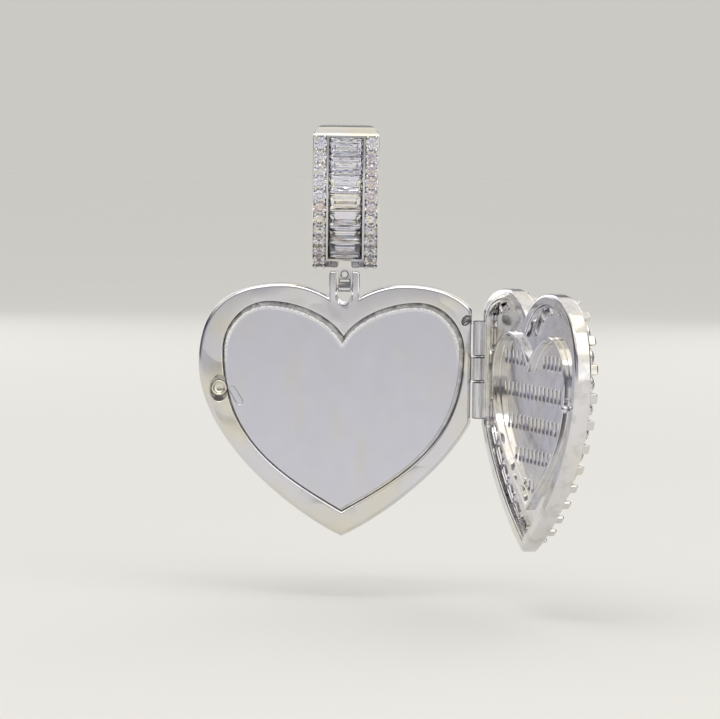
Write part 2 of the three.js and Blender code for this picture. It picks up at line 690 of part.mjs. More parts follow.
const heart = new THREE.Group();
heart.position.z = HEART_Z;
locket.add(heart);
piece('back_plate', backPlate(), rhodium, heart);
piece('photo_plate', photoPlate(), satinRhodium, heart);
piece('latch_socket', latchSocket(), rhodium, heart);
piece('plate_knuckle', knuckle(KNUCKLES.middle, MATING_Y + 0.1, MATING_Y + KNUCKLE_RADIUS), rhodium, heart);
piece('hinge_pin', hingePin(), steelPin, heart);
const hangerPin = bar(HANGER_PIN_RADIUS, 2 * HANGER_HALF_WIDTH - 0.6, 'x');
piece('hanger_pin', hangerPin, steelPin, heart).position.z = HANGER_PIN_Z - HEART_Z;

// The lid is drawn closed and swings on the hinge line.
const swing = new THREE.Group();
swing.position.set(HINGE_X, MATING_Y, 0);
swing.rotation.z = LID_OPEN_ANGLE;
heart.add(swing);
const closedLid = new THREE.Group();
closedLid.position.set(-HINGE_X, -MATING_Y, 0);
swing.add(closedLid);
lid(closedLid);

export default locket;
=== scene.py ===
import json
import math
import random

import bmesh
import bpy
from mathutils import Matrix, Vector


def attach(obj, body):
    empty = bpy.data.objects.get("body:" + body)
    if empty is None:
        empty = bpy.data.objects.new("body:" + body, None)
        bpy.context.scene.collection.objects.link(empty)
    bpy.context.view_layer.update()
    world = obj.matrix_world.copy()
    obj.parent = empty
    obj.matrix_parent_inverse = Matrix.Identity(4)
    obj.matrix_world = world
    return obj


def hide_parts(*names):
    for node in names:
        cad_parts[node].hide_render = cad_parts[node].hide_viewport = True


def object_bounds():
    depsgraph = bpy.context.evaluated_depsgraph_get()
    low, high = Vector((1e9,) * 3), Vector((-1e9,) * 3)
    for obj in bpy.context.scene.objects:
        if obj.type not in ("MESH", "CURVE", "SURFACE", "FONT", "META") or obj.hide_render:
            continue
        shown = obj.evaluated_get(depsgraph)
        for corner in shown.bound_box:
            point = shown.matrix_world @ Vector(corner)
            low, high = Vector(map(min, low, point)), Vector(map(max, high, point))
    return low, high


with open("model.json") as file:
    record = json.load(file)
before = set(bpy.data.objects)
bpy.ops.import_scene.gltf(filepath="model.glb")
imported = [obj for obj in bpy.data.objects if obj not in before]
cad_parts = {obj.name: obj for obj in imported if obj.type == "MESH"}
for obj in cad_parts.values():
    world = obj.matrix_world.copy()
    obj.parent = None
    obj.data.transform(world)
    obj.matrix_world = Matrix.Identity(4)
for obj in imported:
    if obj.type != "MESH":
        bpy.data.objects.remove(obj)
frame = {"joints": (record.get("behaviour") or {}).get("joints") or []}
CAD_LOW, CAD_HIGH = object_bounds()

# The heart photo locket's looks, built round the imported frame.
# Shapes are drawn in millimetres, in the frame's axes: +Z up, front towards -Y.
MM = 0.001

# ---------------------------------------------------------------- what the frame says

JOINTS = {joint["name"]: joint for joint in frame["joints"]}
LID_OPEN = math.radians(-JOINTS["lid_hinge"]["range_deg"][0])
HINGE = Vector(JOINTS["lid_hinge"]["pos_m"]) / MM
BAIL_PIN_Z = JOINTS["link_swing"]["pos_m"][2] / MM
HANGER_PIN_Z = JOINTS["heart_swing"]["pos_m"][2] / MM

# The lid's pieces are drawn closed and turned open about the hinge.
LID_TURN = (
    Matrix.Translation(HINGE)
    @ Matrix.Rotation(LID_OPEN, 4, "Z")
    @ Matrix.Translation(-HINGE)
)

# ---------------------------------------------------------------- dimensions, in millimetres

HEART_Z = -29.8  # height of the cleft of the photo plate's recess
PLATE_FRONT = -1.45
PLATE_BACK = 1.5
EDGE_ROUND = 0.65
RECESS_FLOOR = PLATE_FRONT + 0.95
PHOTO_BACK = RECESS_FLOOR - 0.05
PHOTO_FRONT = PHOTO_BACK - 0.45
PHOTO_GAP = 0.45
PHOTO_SLIP = (-0.22, -0.2)  # the plate lies against the lower left of its recess
DIMPLE = (18.1, 2.7)
HINGE_SIDE_X = 19.0  # the heart is trimmed flat here
HINGE_PIN_RADIUS = 0.36
KNUCKLE_RADIUS = 0.95
KNUCKLES = {"upper": (-2.6, 2.8), "middle": (-6.3, -2.6), "lower": (-11.9, -6.3)}
LATCH = (-18.4, -7.8)
POCKET_HALF = (1.3, 2.0)
POCKET_DEPTH = 0.85
HANGER_HALF = 2.28
HANGER_GAP_HALF = 1.14
HANGER_TOP = 9.75
HANGER_BACK = 0.75
HANGER_PIN = (0.34, 2.2)  # radius, half length
BAIL_PIN = (0.3, 1.95)
LINK_WIDTH = 1.95
LINK_EYE = 0.72
LINK_HALF_DEPTH = 0.55

LID_BACK = -1.55
LID_DEPTH = 2.4
LID_FRONT = LID_BACK - LID_DEPTH
RIM_WIDTH = 1.5
GUTTER_DEPTH = 1.3
RIDGE_DROP = 0.45
RIDGE_WIDTH = 0.55
PANEL_DEPTH = 1.6
LID_SHEET = 0.5
HALO_DIAMETER = 3.2
HALO_PITCH = 3.55
HALO_INSET = 2.35
HALO_RISE = 0.35
HALO_HOLE = 0.62
CLAW_OUT = 1.76  # claws stand outside the halo's line of stones, and pins inside it
CLAW_PIN_IN = 1.45
SLOT_WIDTH = 0.75
SLOT_LENGTH = 2.1
SLOT_PITCH = 1.65
SLOT_MARGIN = 0.3
ROW_STONE_LENGTH = 4.2
ROW_BAR_HEIGHTS = (-4.42, -9.08, -13.7, -18.2)
# The rows of stones: each one's height, and its left and right ends.
STONE_ROWS = {
    "upper_left": (-2.1, -13.2, -3.3),
    "upper_right": (-2.1, 3.3, 13.2),
    "second": (-6.75, -13.2, 13.2),
    "third": (-11.4, -11.6, 11.6),
    "fourth": (-16.0, -8.2, 8.2),
    "fifth": (-20.4, -4.1, 4.1),
}

# Half outlines from cleft to tip, each with three Bezier arcs, measured from the recess cleft.
HEART_EDGE = [
    (0, 4.3),
    (1.4, 5.9, 5.2, 7.9, 9.0, 7.9),
    (18.0, 7.9, 21.5, 3.4, 21.5, -3.8),
    (21.5, -16.4, 5.2, -27.4, 0, -29.6),
]
HEART_RECESS = [
    (0, 0),
    (1.9, 3.1, 6.8, 5.15, 11.0, 5.15),
    (15.0, 5.15, 17.9, 1.6, 17.9, -2.0),
    (17.9, -15.5, 9.4, -20.6, 0, -26.0),
]
LID_PANEL = [
    (0, -3.7),
    (1.6, -1.2, 5.2, 1.2, 8.6, 1.2),
    (12.2, 1.2, 15.1, -1.4, 15.1, -5.0),
    (15.1, -14.0, 5.4, -18.6, 0, -22.9),
]

BAIL_HALF = 4.85
BAIL_BACK_HALF = 3.3
BAIL_TOP = 1.6
BAIL_FOOT_Z = -19.6
BAIL_RAIL = 0.3
BAIL_FRONT = [(-6.6, 0), (-7.1, -8.0), (-7.0, -13.2), (-0.1, BAIL_FOOT_Z)]  # a Bezier curve
# The band's other curves in (y, z), each with its steps: outside, from the foot up the back and
# over the crown; and inside, from the crown down the front and back up.
BAIL_OUTER = [
    ([(1.1, BAIL_FOOT_Z), (4.0, -16.0), (4.6, -11.0), (4.4, -6.0)], 14),
    ([(4.4, -6.0), (4.3, -1.5), (2.6, BAIL_TOP), (0, BAIL_TOP)], 12),
    ([(0, BAIL_TOP), (-2.6, BAIL_TOP), (-5.6, 1.4), (-6.6, 0)], 12),
]
BAIL_INNER = [
    ([(0, 0), (-2.4, 0), (-4.4, -0.6), (-4.6, -2.4)], 12),
    ([(-4.6, -2.4), (-4.9, -8.0), (-4.8, -12.4), (0.4, -17.5)], 28),
    ([(0.4, -17.5), (2.2, -15.6), (3.3, -11.0), (3.2, -6.0)], 14),
    ([(3.2, -6.0), (3.1, -2.0), (2.0, 0), (0, 0)], 12),
]
CHANNEL = (0.012, 0.93)  # where the baguettes' groove starts and ends, as shares of the front
COLUMN = (0.006, 0.992)
CHANNEL_DEPTH = 1.7
COLUMN_DEPTH = 1.0
BAGUETTE_LENGTH = 5.0
BAGUETTE_WIDTH = 2.7
BAGUETTE_COUNT = 7
BAGUETTE_SINK = 0.5
ROUND_DIAMETER = 1.9
ROUND_COUNT = 11
ROUND_SINK = 0.08
ROUND_X = BAGUETTE_LENGTH / 2 + BAIL_RAIL + ROUND_DIAMETER / 2 + 0.03
BEAD_RADIUS = 0.31
BEAD_SPREAD = 0.62

HALF_COUNT = 81  # points on half of a heart's outline
FLOOR_DROP = 10.0

# ---------------------------------------------------------------- curves


def cubic(corners, t):
    """The point at share t of a cubic Bezier curve."""
    a, b, c, d = corners
    u = 1 - t
    return a * u**3 + b * 3 * u * u * t + c * 3 * u * t * t + d * t**3


def bezier(corners, steps):
    """Points on a cubic curve at equal steps, both ends included."""
    corners = [Vector(p) for p in corners]
    return [cubic(corners, i / steps) for i in range(steps + 1)]


def half_heart(spec, steps=40):
    """The right half of a heart, from its cleft to its tip."""
    points = [Vector(spec[0])]
    for arc in spec[1:]:
        corners = [points[-1], arc[0:2], arc[2:4], arc[4:6]]
        points += bezier(corners, steps)[1:]
    return points


def inset_half(points, distance):
    """Moves a half heart inwards and closes it on the middle line at both ends."""
    moved = []
    for i, point in enumerate(points):
        along = points[min(i + 1, len(points) - 1)] - points[max(i - 1, 0)]
        along.normalize()
        moved.append(Vector((point.x + along.y * distance, point.y - along.x * distance)))
    inside = [p for p in moved if p.x > 1e-3]

    def on_middle(near, other):
        slope = (other.y - near.y) / (other.x - near.x)
        return Vector((0, near.y - slope * near.x))

    return [on_middle(inside[0], inside[1]), *inside, on_middle(inside[-1], inside[-2])]


def lengths_along(points):
    """How far along a line each of its points lies."""
    reach = [0.0]
    for a, b in zip(points, points[1:]):
        reach.append(reach[-1] + (b - a).length)
    return reach


def point_at(points, reach, distance):
    """The point a distance along a line, and the index of the next of its points."""
    i = 1
    while i < len(points) - 1 and reach[i] < distance:
        i += 1
    span = max(reach[i] - reach[i - 1], 1e-9)
    return points[i - 1].lerp(points[i], (distance - reach[i - 1]) / span), i


def spaced(points, count):
    """Places at equal steps along a line, each with the direction of travel there."""
    reach = lengths_along(points)
    pitch = reach[-1] / count
    places = []
    for n in range(count):
        at, i = point_at(points, reach, (n + 0.5) * pitch)
        places.append((at, (points[i] - points[i - 1]).normalized()))
    return places


def resampled(points, count):
    """The same line with its points at equal steps."""
    reach = lengths_along(points)
    last = count - 1
    return [point_at(points, reach, reach[-1] * n / last)[0] for n in range(count)]


def heart_outline(spec, inset=0.0, side=None, count=HALF_COUNT, steps=40):
    """The whole outline as (x, z) points, from the cleft down the right side and back up."""
    half = resampled(inset_half(half_heart(spec, steps), inset), count)
    right = [Vector((min(p.x, side) if side else p.x, p.y)) for p in half]
    left = [Vector((-p.x, p.y)) for p in reversed(half[1:-1])]
    return right + left


def ring(outline, y, slip=(0, 0)):
    """An (x, z) outline of the heart set in space at depth y."""
    return [Vector((p.x + slip[0], y, p.y + slip[1] + HEART_Z)) for p in outline]


def quarter(steps=6):
    """(sine, cosine) of the angles of a quarter turn."""
    return [
        (math.sin(math.pi / 2 * i / steps), math.cos(math.pi / 2 * i / steps))
        for i in range(steps + 1)
    ]


def circle(centre, radius, sides, half_height=None):
    """A circle, or an ellipse if a half height is given."""
    tall = half_height or radius
    turns = [2 * math.pi * (i + 0.5) / sides for i in range(sides)]
    return [
        Vector((centre[0] + radius * math.cos(t), centre[1] + tall * math.sin(t)))
        for t in turns
    ]


def stadium(middle, along, radius, reach, steps):
    """A round-ended outline, its straight part twice the reach long."""
    across = Vector((along.y, -along.x))
    points = []
    for end, first in ((1, 0.0), (-1, math.pi)):
        for i in range(steps + 1):
            turn = first + math.pi * i / steps
            up = end * reach + radius * math.sin(turn)
            points.append(middle + across * (radius * math.cos(turn)) + along * up)
    return points


def chain(curves):
    """Several (corners, steps) curves, end to end, as one line."""
    points = bezier(*curves[0])
    for curve in curves[1:]:
        points += bezier(*curve)[1:]
    return points


def inside_outline(point, outline):
    """True if an (x, z) point is inside a closed outline."""
    found = False
    for a, b in zip(outline, outline[1:] + outline[:1]):
        if (a.y > point[1]) != (b.y > point[1]):
            if point[0] < a.x + (b.x - a.x) * (point[1] - a.y) / (b.y - a.y):
                found = not found
    return found


# ---------------------------------------------------------------- meshes


def add_object(name, data):
    """Puts a mesh, a light or a camera into the scene."""
    made = bpy.data.objects.new(name, data)
    bpy.context.scene.collection.objects.link(made)
    return made


def mend(mesh, weld=0):
    """Turns a mesh's faces outwards, after joining corners closer than a weld distance."""
    edit = bmesh.new()
    edit.from_mesh(mesh)
    if weld:
        bmesh.ops.remove_doubles(edit, verts=edit.verts, dist=weld)
    bmesh.ops.recalc_face_normals(edit, faces=edit.faces)
    edit.to_mesh(mesh)
    edit.free()


class Shape:
    """Vertices and faces in millimetres, gathered piece by piece."""

    def __init__(self):
        self.verts = []
        self.faces = []

    def loft(self, rings, closed=False):
        """Joins rings of equal count into one skin, capped at both ends unless it is closed."""
        start = len(self.verts)
        count = len(rings[0])
        for loop in rings:
            self.verts += loop
        pairs = len(rings) if closed else len(rings) - 1
        for r in range(pairs):
            a = start + r * count
            b = start + ((r + 1) % len(rings)) * count
            for i in range(count):
                j = (i + 1) % count
                self.faces.append((a + i, a + j, b + j, b + i))
        if not closed:
            self.faces.append(tuple(range(start, start + count)))
            last = start + (len(rings) - 1) * count
            self.faces.append(tuple(range(last, last + count)))
        return self

    def polyhedron(self, verts, faces, place=None):
        """Adds a closed solid, moved to a place if one is given."""
        start = len(self.verts)
        self.verts += [place @ Vector(v) if place else Vector(v) for v in verts]
        self.faces += [tuple(start + i for i in face) for face in faces]
        return self

    def lathe(self, profile, place, sides=24):
        """Turns (radius, height) points about a place's Z axis. The ends close on the axis."""
        rings = []
        for radius, height in profile:
            rings.append([
                place @ Vector((
                    radius * math.cos(2 * math.pi * i / sides),
                    radius * math.sin(2 * math.pi * i / sides),
                    height,
                ))
                for i in range(sides)
            ])
        return self.loft(rings)

    def object(self, name, turn=None):
        """Makes the scene's object, in metres, turned first if a turn is given."""
        mesh = bpy.data.meshes.new(name)
        verts = [(turn @ v if turn else v) * MM for v in self.verts]
        mesh.from_pydata(verts, [], self.faces)
        mend(mesh)
        return add_object(name, mesh)


def apply_modifiers(piece):
    """Swaps a piece's mesh for the one that its modifiers make."""
    view = bpy.context.evaluated_depsgraph_get()
    view.update()
    mesh = bpy.data.meshes.new_from_object(piece.evaluated_get(view), depsgraph=view)
    piece.modifiers.clear()
    old = piece.data
    piece.data = mesh
    bpy.data.meshes.remove(old)
    mesh.name = piece.name


def combine(piece, shape, operation="DIFFERENCE"):
    """Cuts a shape out of a piece, or joins it on."""
    tool = shape.object("tool")
    modifier = piece.modifiers.new("combine", "BOOLEAN")
    modifier.operation = operation
    modifier.solver = "EXACT"
    modifier.object = tool
    apply_modifiers(piece)
    bpy.data.objects.remove(tool)


def painted_shade(piece, shade_at):
    """Marks how much painted shade each face gets, from 0 to 1: a darkening that stands in for shade in
    gaps and hollows.
    """
    marks = piece.data.attributes.new("painted_shade", "FLOAT", "FACE")
    for mark, face in zip(marks.data, piece.data.polygons):
        mark.value = shade_at(face)


def ride(piece, body, material, replaces=(), smooth=35):
    """Finishes a piece: its shading, material, body and the CAD nodes it stands for."""
    piece.data.materials.clear()
    piece.data.materials.append(material)
    if smooth:
        piece.data.shade_smooth()
        piece.data.set_sharp_from_angle(angle=math.radians(smooth))
        modifier = piece.modifiers.new("flat_faces_stay_flat", "WEIGHTED_NORMAL")
        modifier.keep_sharp = True
        modifier.weight = 100
    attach(piece, body)
    if replaces:
        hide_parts(*replaces)
    return piece


# ---------------------------------------------------------------- materials


class Nodes:
    """A short way to write a material's nodes."""

    def __init__(self, name):
        self.material = bpy.data.materials.new(name)
        self.material.use_nodes = True
        self.tree = self.material.node_tree
        self.shader = self.tree.nodes["Principled BSDF"]
        self.place = self.add("ShaderNodeTexCoord").outputs["Object"]

    def add(self, kind, **inputs):
        """A new node with some of its inputs set."""
        node = self.tree.nodes.new(kind)
        for name, value in inputs.items():
            self.set(node, name, value)
        return node

    def set(self, node, name, value):
        """Sets an input to a value, or links another node's output to it."""
        socket = node.inputs[name.replace("_", " ")] if isinstance(name, str) else node.inputs[name]
        if isinstance(value, bpy.types.NodeSocket):
            self.tree.links.new(value, socket)
        else:
            socket.default_value = value

    def noise(self, scale, detail=3.0, roughness=0.5, stretch=(1, 1, 1)):
        """Noise from 0 to 1 that stays with the piece, its scale per metre."""
        mapping = self.add("ShaderNodeMapping", Vector=self.place, Scale=stretch)
        node = self.add("ShaderNodeTexNoise", Scale=scale, Detail=detail, Roughness=roughness)
        self.set(node, "Vector", mapping.outputs[0])
        return node.outputs["Fac"]

    def attribute(self, name, output="Fac"):
        """What the mesh itself says, face by face or point by point."""
        node = self.add("ShaderNodeAttribute")
        node.attribute_name = name
        return node.outputs[output]

    def times(self, a, b):
        """The product of two values."""
        node = self.tree.nodes.new("ShaderNodeMath")
        node.operation = "MULTIPLY"
        self.set(node, 0, a)
        self.set(node, 1, b)
        return node.outputs[0]

    def ramp(self, value, stops):
        """A colour for each value, between (position, colour) stops."""
        node = self.add("ShaderNodeValToRGB", Fac=value)
        elements = node.color_ramp.elements
        while len(elements) < len(stops):
            elements.new(0.5)
        for element, (position, colour) in zip(elements, stops):
            element.position = position
            element.color = (*colour, 1) if len(colour) == 3 else colour
        return node.outputs["Color"]

    def mix(self, share, a, b):
        """The first colour at share 0, the second at 1."""
        node = self.tree.nodes.new("ShaderNodeMix")
        node.data_type = "RGBA"
        self.set(node, 0, share)
        self.set(node, 6, a)
        self.set(node, 7, b)
        return node.outputs[2]

    def blend(self, share, a, b):
        """The first number at share 0, the second at 1."""
        node = self.tree.nodes.new("ShaderNodeMix")
        self.set(node, 0, share)
        self.set(node, 2, a)
        self.set(node, 3, b)
        return node.outputs[0]

    def between(self, value, low, high):
        """A value of 0 to 1 stretched to other limits."""
        node = self.add("ShaderNodeMapRange", Value=value)
        node.inputs["To Min"].default_value = low
        node.inputs["To Max"].default_value = high
        return node.outputs[0]

    def bump(self, height, strength, distance):
        """A bump node, its distance in millimetres."""
        node = self.add("ShaderNodeBump", Height=height, Strength=strength, Distance=distance * MM)
        return node

    def finish(self, **values):
        """Sets the shader's inputs and gives the material."""
        for name, value in values.items():
            self.set(self.shader, name, value)
        return self.material


SILVER = (0.76, 0.755, 0.785)
BRIGHT = (0.90, 0.89, 0.90)
LILAC = (0.70, 0.70, 0.755)
STRAW = (0.76, 0.725, 0.60)
SHADOW = (0.13, 0.125, 0.125)
BLOTCH = (0.36, 0.35, 0.35)


def polished_rhodium(name, cast_skin=False):
    """Plated silver: a soft mirror with faint straw stains and a slow wave.

    A cast skin, inside the lid, is more dimpled and has dull blotches.
    """
    n = Nodes(name)
    stain = n.ramp(n.noise(95, 4, 0.55), [(0.47, (0, 0, 0)), (0.63, (1, 1, 1))])
    tone = n.mix(n.noise(160, 2), (*(BRIGHT if cast_skin else SILVER), 1), (*LILAC, 1))
    colour = n.mix(n.between(stain, 0, 0.45 if cast_skin else 0.75), tone, (*STRAW, 1))
    if cast_skin:
        blotch = n.ramp(n.noise(520, 4, 0.6), [(0.50, (0, 0, 0)), (0.62, (1, 1, 1))])
        colour = n.mix(n.between(blotch, 0, 0.25), colour, (*BLOTCH, 1))
    # Painted shade: the faces that a piece marks as shaded darken towards SHADOW, in patches.
    patchy = n.ramp(n.noise(1100, 3), [(0.38, (0.45, 0.45, 0.45)), (0.58, (1, 1, 1))])
    colour = n.mix(n.times(n.attribute("painted_shade"), patchy), colour, (*SHADOW, 1))
    if cast_skin:
        wave = n.bump(n.noise(330, 3), 0.5, 0.05)
    else:
        swell = n.ramp(n.noise(75, 2), [(0.50, (0, 0, 0)), (0.68, (1, 1, 1))])
        wave = n.bump(swell, 0.9, 0.14)
    scratches = n.bump(n.noise(2600, 2, stretch=(1, 1, 0.2)), 0.05, 0.004)
    n.set(scratches, "Normal", wave.outputs[0])
    roughness = n.between(n.noise(700, 4), 0.05, 0.17)
    return n.finish(
        Base_Color=colour, Metallic=1.0, Roughness=roughness, Normal=scratches.outputs[0]
    )


def satin_rhodium():
    """The photo plate: finely brushed, with mottled stains and a scoured upper edge."""
    n = Nodes("satin_rhodium_plate")
    stain = n.ramp(n.noise(140, 5, 0.6, (1.6, 1, 0.7)), [(0.50, (0, 0, 0)), (0.72, (1, 1, 1))])
    tone = n.mix(n.noise(240, 3), (0.735, 0.74, 0.835, 1), (0.70, 0.705, 0.785, 1))
    colour = n.mix(n.between(stain, 0, 0.35), tone, (*STRAW, 1))
    burr = n.attribute("burr")
    grit = n.ramp(n.noise(3600, 4, 0.7), [(0.40, (0, 0, 0)), (0.48, (1, 1, 1))])
    scour = n.times(burr, grit)
    colour = n.mix(scour, colour, (1, 1, 1, 1))
    brushed = n.bump(n.noise(900, 3, stretch=(6, 1, 0.35)), 0.05, 0.01)
    gouged = n.bump(n.times(burr, n.noise(5200, 3, 0.7)), 0.6, 0.08)
    n.set(gouged, "Normal", brushed.outputs[0])
    roughness = n.blend(scour, n.between(n.noise(500, 3), 0.17, 0.27), 0.3)
    metal = n.between(scour, 1, 0.1)
    return n.finish(Base_Color=colour, Metallic=metal, Roughness=roughness, Normal=gouged.outputs[0])


def brushed_rhodium():
    """The hinge knuckles: bright metal with vertical drawing lines."""
    n = Nodes("brushed_rhodium_knuckle")
    lines = n.noise(2200, 3, 0.6, (1, 1, 0.06))
    lines = n.ramp(lines, [(0.35, (0, 0, 0)), (0.65, (1, 1, 1))])
    colour = n.mix(lines, (0.88, 0.88, 0.91, 1), (0.56, 0.56, 0.60, 1))
    # Painted shade: the faces that a knuckle marks as shaded darken towards SHADOW.
    colour = n.mix(n.attribute("painted_shade"), colour, (*SHADOW, 1))
    drawn = n.bump(lines, 0.35, 0.02)
    roughness = n.between(n.noise(1500, 2, stretch=(1, 1, 0.2)), 0.12, 0.30)
    return n.finish(Base_Color=colour, Metallic=1.0, Roughness=roughness, Normal=drawn.outputs[0])


def pin_metal():
    """Drawn steel wire, a little warmer than the plating."""
    n = Nodes("pin_steel_wire")
    lines = n.noise(1800, 2, 0.5, (0.1, 1, 1))
    colour = n.mix(lines, (0.74, 0.72, 0.69, 1), (0.56, 0.54, 0.52, 1))
    drawn = n.bump(lines, 0.15, 0.01)
    roughness = n.between(lines, 0.16, 0.34)
    return n.finish(Base_Color=colour, Metallic=1.0, Roughness=roughness, Normal=drawn.outputs[0])


def clear_stone():
    """Colourless cubic zirconia. Each facet's own tint is painted fire, standing for the coloured light
    that a real stone splits.
    """
    n = Nodes("clear_stone_cut")
    fire = n.attribute("fire", "Color")
    haze = n.mix(n.between(n.noise(1400, 2), 0, 0.12), fire, (0.9, 0.92, 1.0, 1))
    polish = n.between(n.noise(900, 2), 0.0, 0.02)
    n.shader.inputs["IOR"].default_value = 2.1
    n.shader.inputs["Transmission Weight"].default_value = 1.0
    return n.finish(Base_Color=haze, Roughness=polish)


RHODIUM = polished_rhodium("polished_rhodium")
CAST = polished_rhodium("polished_rhodium_cast_skin", cast_skin=True)
SATIN = satin_rhodium()
BRUSHED = brushed_rhodium()
PIN = pin_metal()
STONE = clear_stone()

# ---------------------------------------------------------------- stones


def weighted(pairs):
    """Colours repeated by their weights, to draw from."""
    return [colour for colour, weight in pairs for _ in range(weight)]


# Painted fire: facet tints that stand for the coloured light a real stone splits.
WHITE = (0.98, 0.985, 1.0)
SMALL_FACET_TINTS = weighted([
    (WHITE, 9), ((0.64, 0.68, 1.0), 4), ((1.0, 0.82, 0.42), 2), ((0.78, 0.60, 0.58), 3),
])
LARGE_FACET_TINTS = weighted([
    (WHITE, 3), ((0.80, 0.82, 1.0), 5), ((0.92, 0.87, 1.0), 2), ((1.0, 0.93, 0.76), 1),
])
TABLE_TINTS = weighted([(WHITE, 3), ((0.66, 0.54, 0.54), 2), ((0.82, 0.83, 1.0), 2)])
# A facet of up to the first area has a small facet's tint, and one above the second has none.
SMALL_FACET = 0.55  # square millimetres
LARGE_FACET = 3.0


def brilliant(radius, crown, pavilion):
    """A round brilliant with its table up +Z: star, kite and girdle facets, eight-fold."""
    eighth = math.pi / 4
    table_radius, star_radius, mid_radius = 0.55 * radius, 0.78 * radius, 0.26 * radius
    belt = 0.03 * radius

    def at(r, turn, z):
        return (r * math.cos(turn), r * math.sin(turn), z)

    reach = math.cos(eighth / 2)
    star_z = belt + crown * (radius - star_radius * reach) / (radius - table_radius)
    mid_z = -belt - pavilion * (radius - mid_radius * reach) / radius
    verts = [at(table_radius, i * eighth, belt + crown) for i in range(8)]
    verts += [at(star_radius, (i + 0.5) * eighth, star_z) for i in range(8)]
    verts += [at(radius, i * eighth / 2, belt) for i in range(16)]
    verts += [at(radius, i * eighth / 2, -belt) for i in range(16)]
    verts += [at(mid_radius, (i + 0.5) * eighth, mid_z) for i in range(8)]
    verts.append((0, 0, -belt - pavilion))
    star, top, low, mid, culet = 8, 16, 32, 48, 56
    faces = [tuple(range(8))]
    for i in range(8):
        j, before = (i + 1) % 8, (i - 1) % 8
        here, half, after = 2 * i, 2 * i + 1, (2 * i + 2) % 16
        faces.append((i, star + i, j))
        faces.append((i, star + before, top + here, star + i))
        faces += [(star + i, top + here, top + half), (star + i, top + half, top + after)]
        faces += [(top + here, low + here, low + half, top + half)]
        faces += [(top + half, low + half, low + after, top + after)]
        faces += [(mid + i, low + half, low + here), (mid + i, low + after, low + half)]
        faces.append((culet, mid + i, low + here, mid + before))
    return verts, faces


def strip(upper, lower, places):
    """Triangles between two rows of points that run the same way, as index triples."""
    faces = []
    i = j = 0
    while i + 1 < len(upper) or j + 1 < len(lower):
        move_lower = i + 1 == len(upper)
        if not move_lower and j + 1 < len(lower):
            move_lower = places[lower[j + 1]][0] < places[upper[i + 1]][0]
        if move_lower:
            faces.append((upper[i], lower[j + 1], lower[j]))
            j += 1
        else:
            faces.append((upper[i], upper[i + 1], lower[j]))
            i += 1
    return faces


def baguette(length, width, crown, pavilion, levels=4):
    """A bar cut with its table up +Z and its length along X. Long slim facets cross below."""
    belt = 0.03
    verts, faces = [], []
    for inset, z in ((0.27, crown), (0.12, crown * 0.7), (0, 0)):
        x, y = length / 2 - inset * width, width / 2 - inset * width
        verts += [(x, y, belt + z), (-x, y, belt + z), (-x, -y, belt + z), (x, -y, belt + z)]
    faces.append((0, 1, 2, 3))
    for level in (0, 4):
        for i in range(4):
            j = (i + 1) % 4
            faces.append((level + i, level + j, level + 4 + j, level + 4 + i))
    ripple = 0.035
    rows = {1: [], -1: []}
    for level in range(levels + 1):
        share = level / levels
        half = length / 2 - width * 0.42 * share
        y = width / 2 * (1 - share)
        z = -belt - pavilion * (share + 0.2 * share * (1 - share))
        stops = (-1, 0, 1) if level % 2 == 0 else (-1, -0.5, 0.5, 1)
        for side in (1, -1):
            if level == levels and side == -1:
                rows[side].append(rows[1][level])
                continue
            row = []
            for stop in stops:
                lift = ripple if 0 < level < levels and abs(stop) < 1 else 0
                row.append(len(verts))
                verts.append((half * stop, side * y, z - lift))
            rows[side].append(row)
    for side in (1, -1):
        for upper, lower in zip(rows[side], rows[side][1:]):
            faces += strip(upper, lower, verts)
    for level in range(levels):
        for end in (0, -1):
            a, b = rows[1][level][end], rows[1][level + 1][end]
            c, d = rows[-1][level + 1][end], rows[-1][level][end]
            faces.append((a, b, c, d) if b != c else (a, b, d))
    # the thin belt between the crown and the pavilion
    left, right = rows[1][0], rows[-1][0]
    faces.append((8, 9, *left))
    faces.append((11, 10, *right))
    faces.append((9, 10, right[0], left[0]))
    faces.append((8, 11, right[-1], left[-1]))
    return verts, faces


def stone_piece(name, body, placed, replaces, seed, turn=None):
    """One piece of cut stones, each a (verts, faces, place), with a tint on every facet."""
    shape = Shape()
    for verts, faces, place in placed:
        shape.polyhedron(verts, faces, place)
    piece = shape.object(name, turn)
    mend(piece.data, weld=0.002 * MM)
    # painted fire: a tint of coloured light on every facet
    fire = piece.data.attributes.new("fire", "FLOAT_COLOR", "FACE")
    draw = random.Random(seed)
    for facet, face in zip(fire.data, piece.data.polygons):
        area = face.area / (MM * MM)
        tints = LARGE_FACET_TINTS if area > SMALL_FACET else SMALL_FACET_TINTS
        if len(face.vertices) > 4:
            tints = TABLE_TINTS
        tint = draw.choice(tints)
        facet.color = (*(WHITE if area > LARGE_FACET else tint), 1)
    return ride(piece, body, STONE, replaces, smooth=None)


def seat(centre, along, out):
    """A place whose Z axis points out of the metal and whose X axis runs along."""
    z = Vector(out).normalized()
    x = Vector(along)
    x = (x - z * x.dot(z)).normalized()
    y = z.cross(x)
    turn = Matrix((x, y, z)).transposed().to_4x4()
    return Matrix.Translation(Vector(centre)) @ turn


# ---------------------------------------------------------------- back plate


def rounded_edge(spec, y_flat, y_side, radius, side):
    """Rings that turn from a flat face at y_flat into the side wall, outwards."""
    step = -1 if y_flat < y_side else 1
    rings = []
    for sine, cosine in quarter():
        inset = radius * (1 - sine)
        y = y_flat - step * radius * (1 - cosine)
        rings.append(ring(heart_outline(spec, inset, side - inset), y))
    return rings


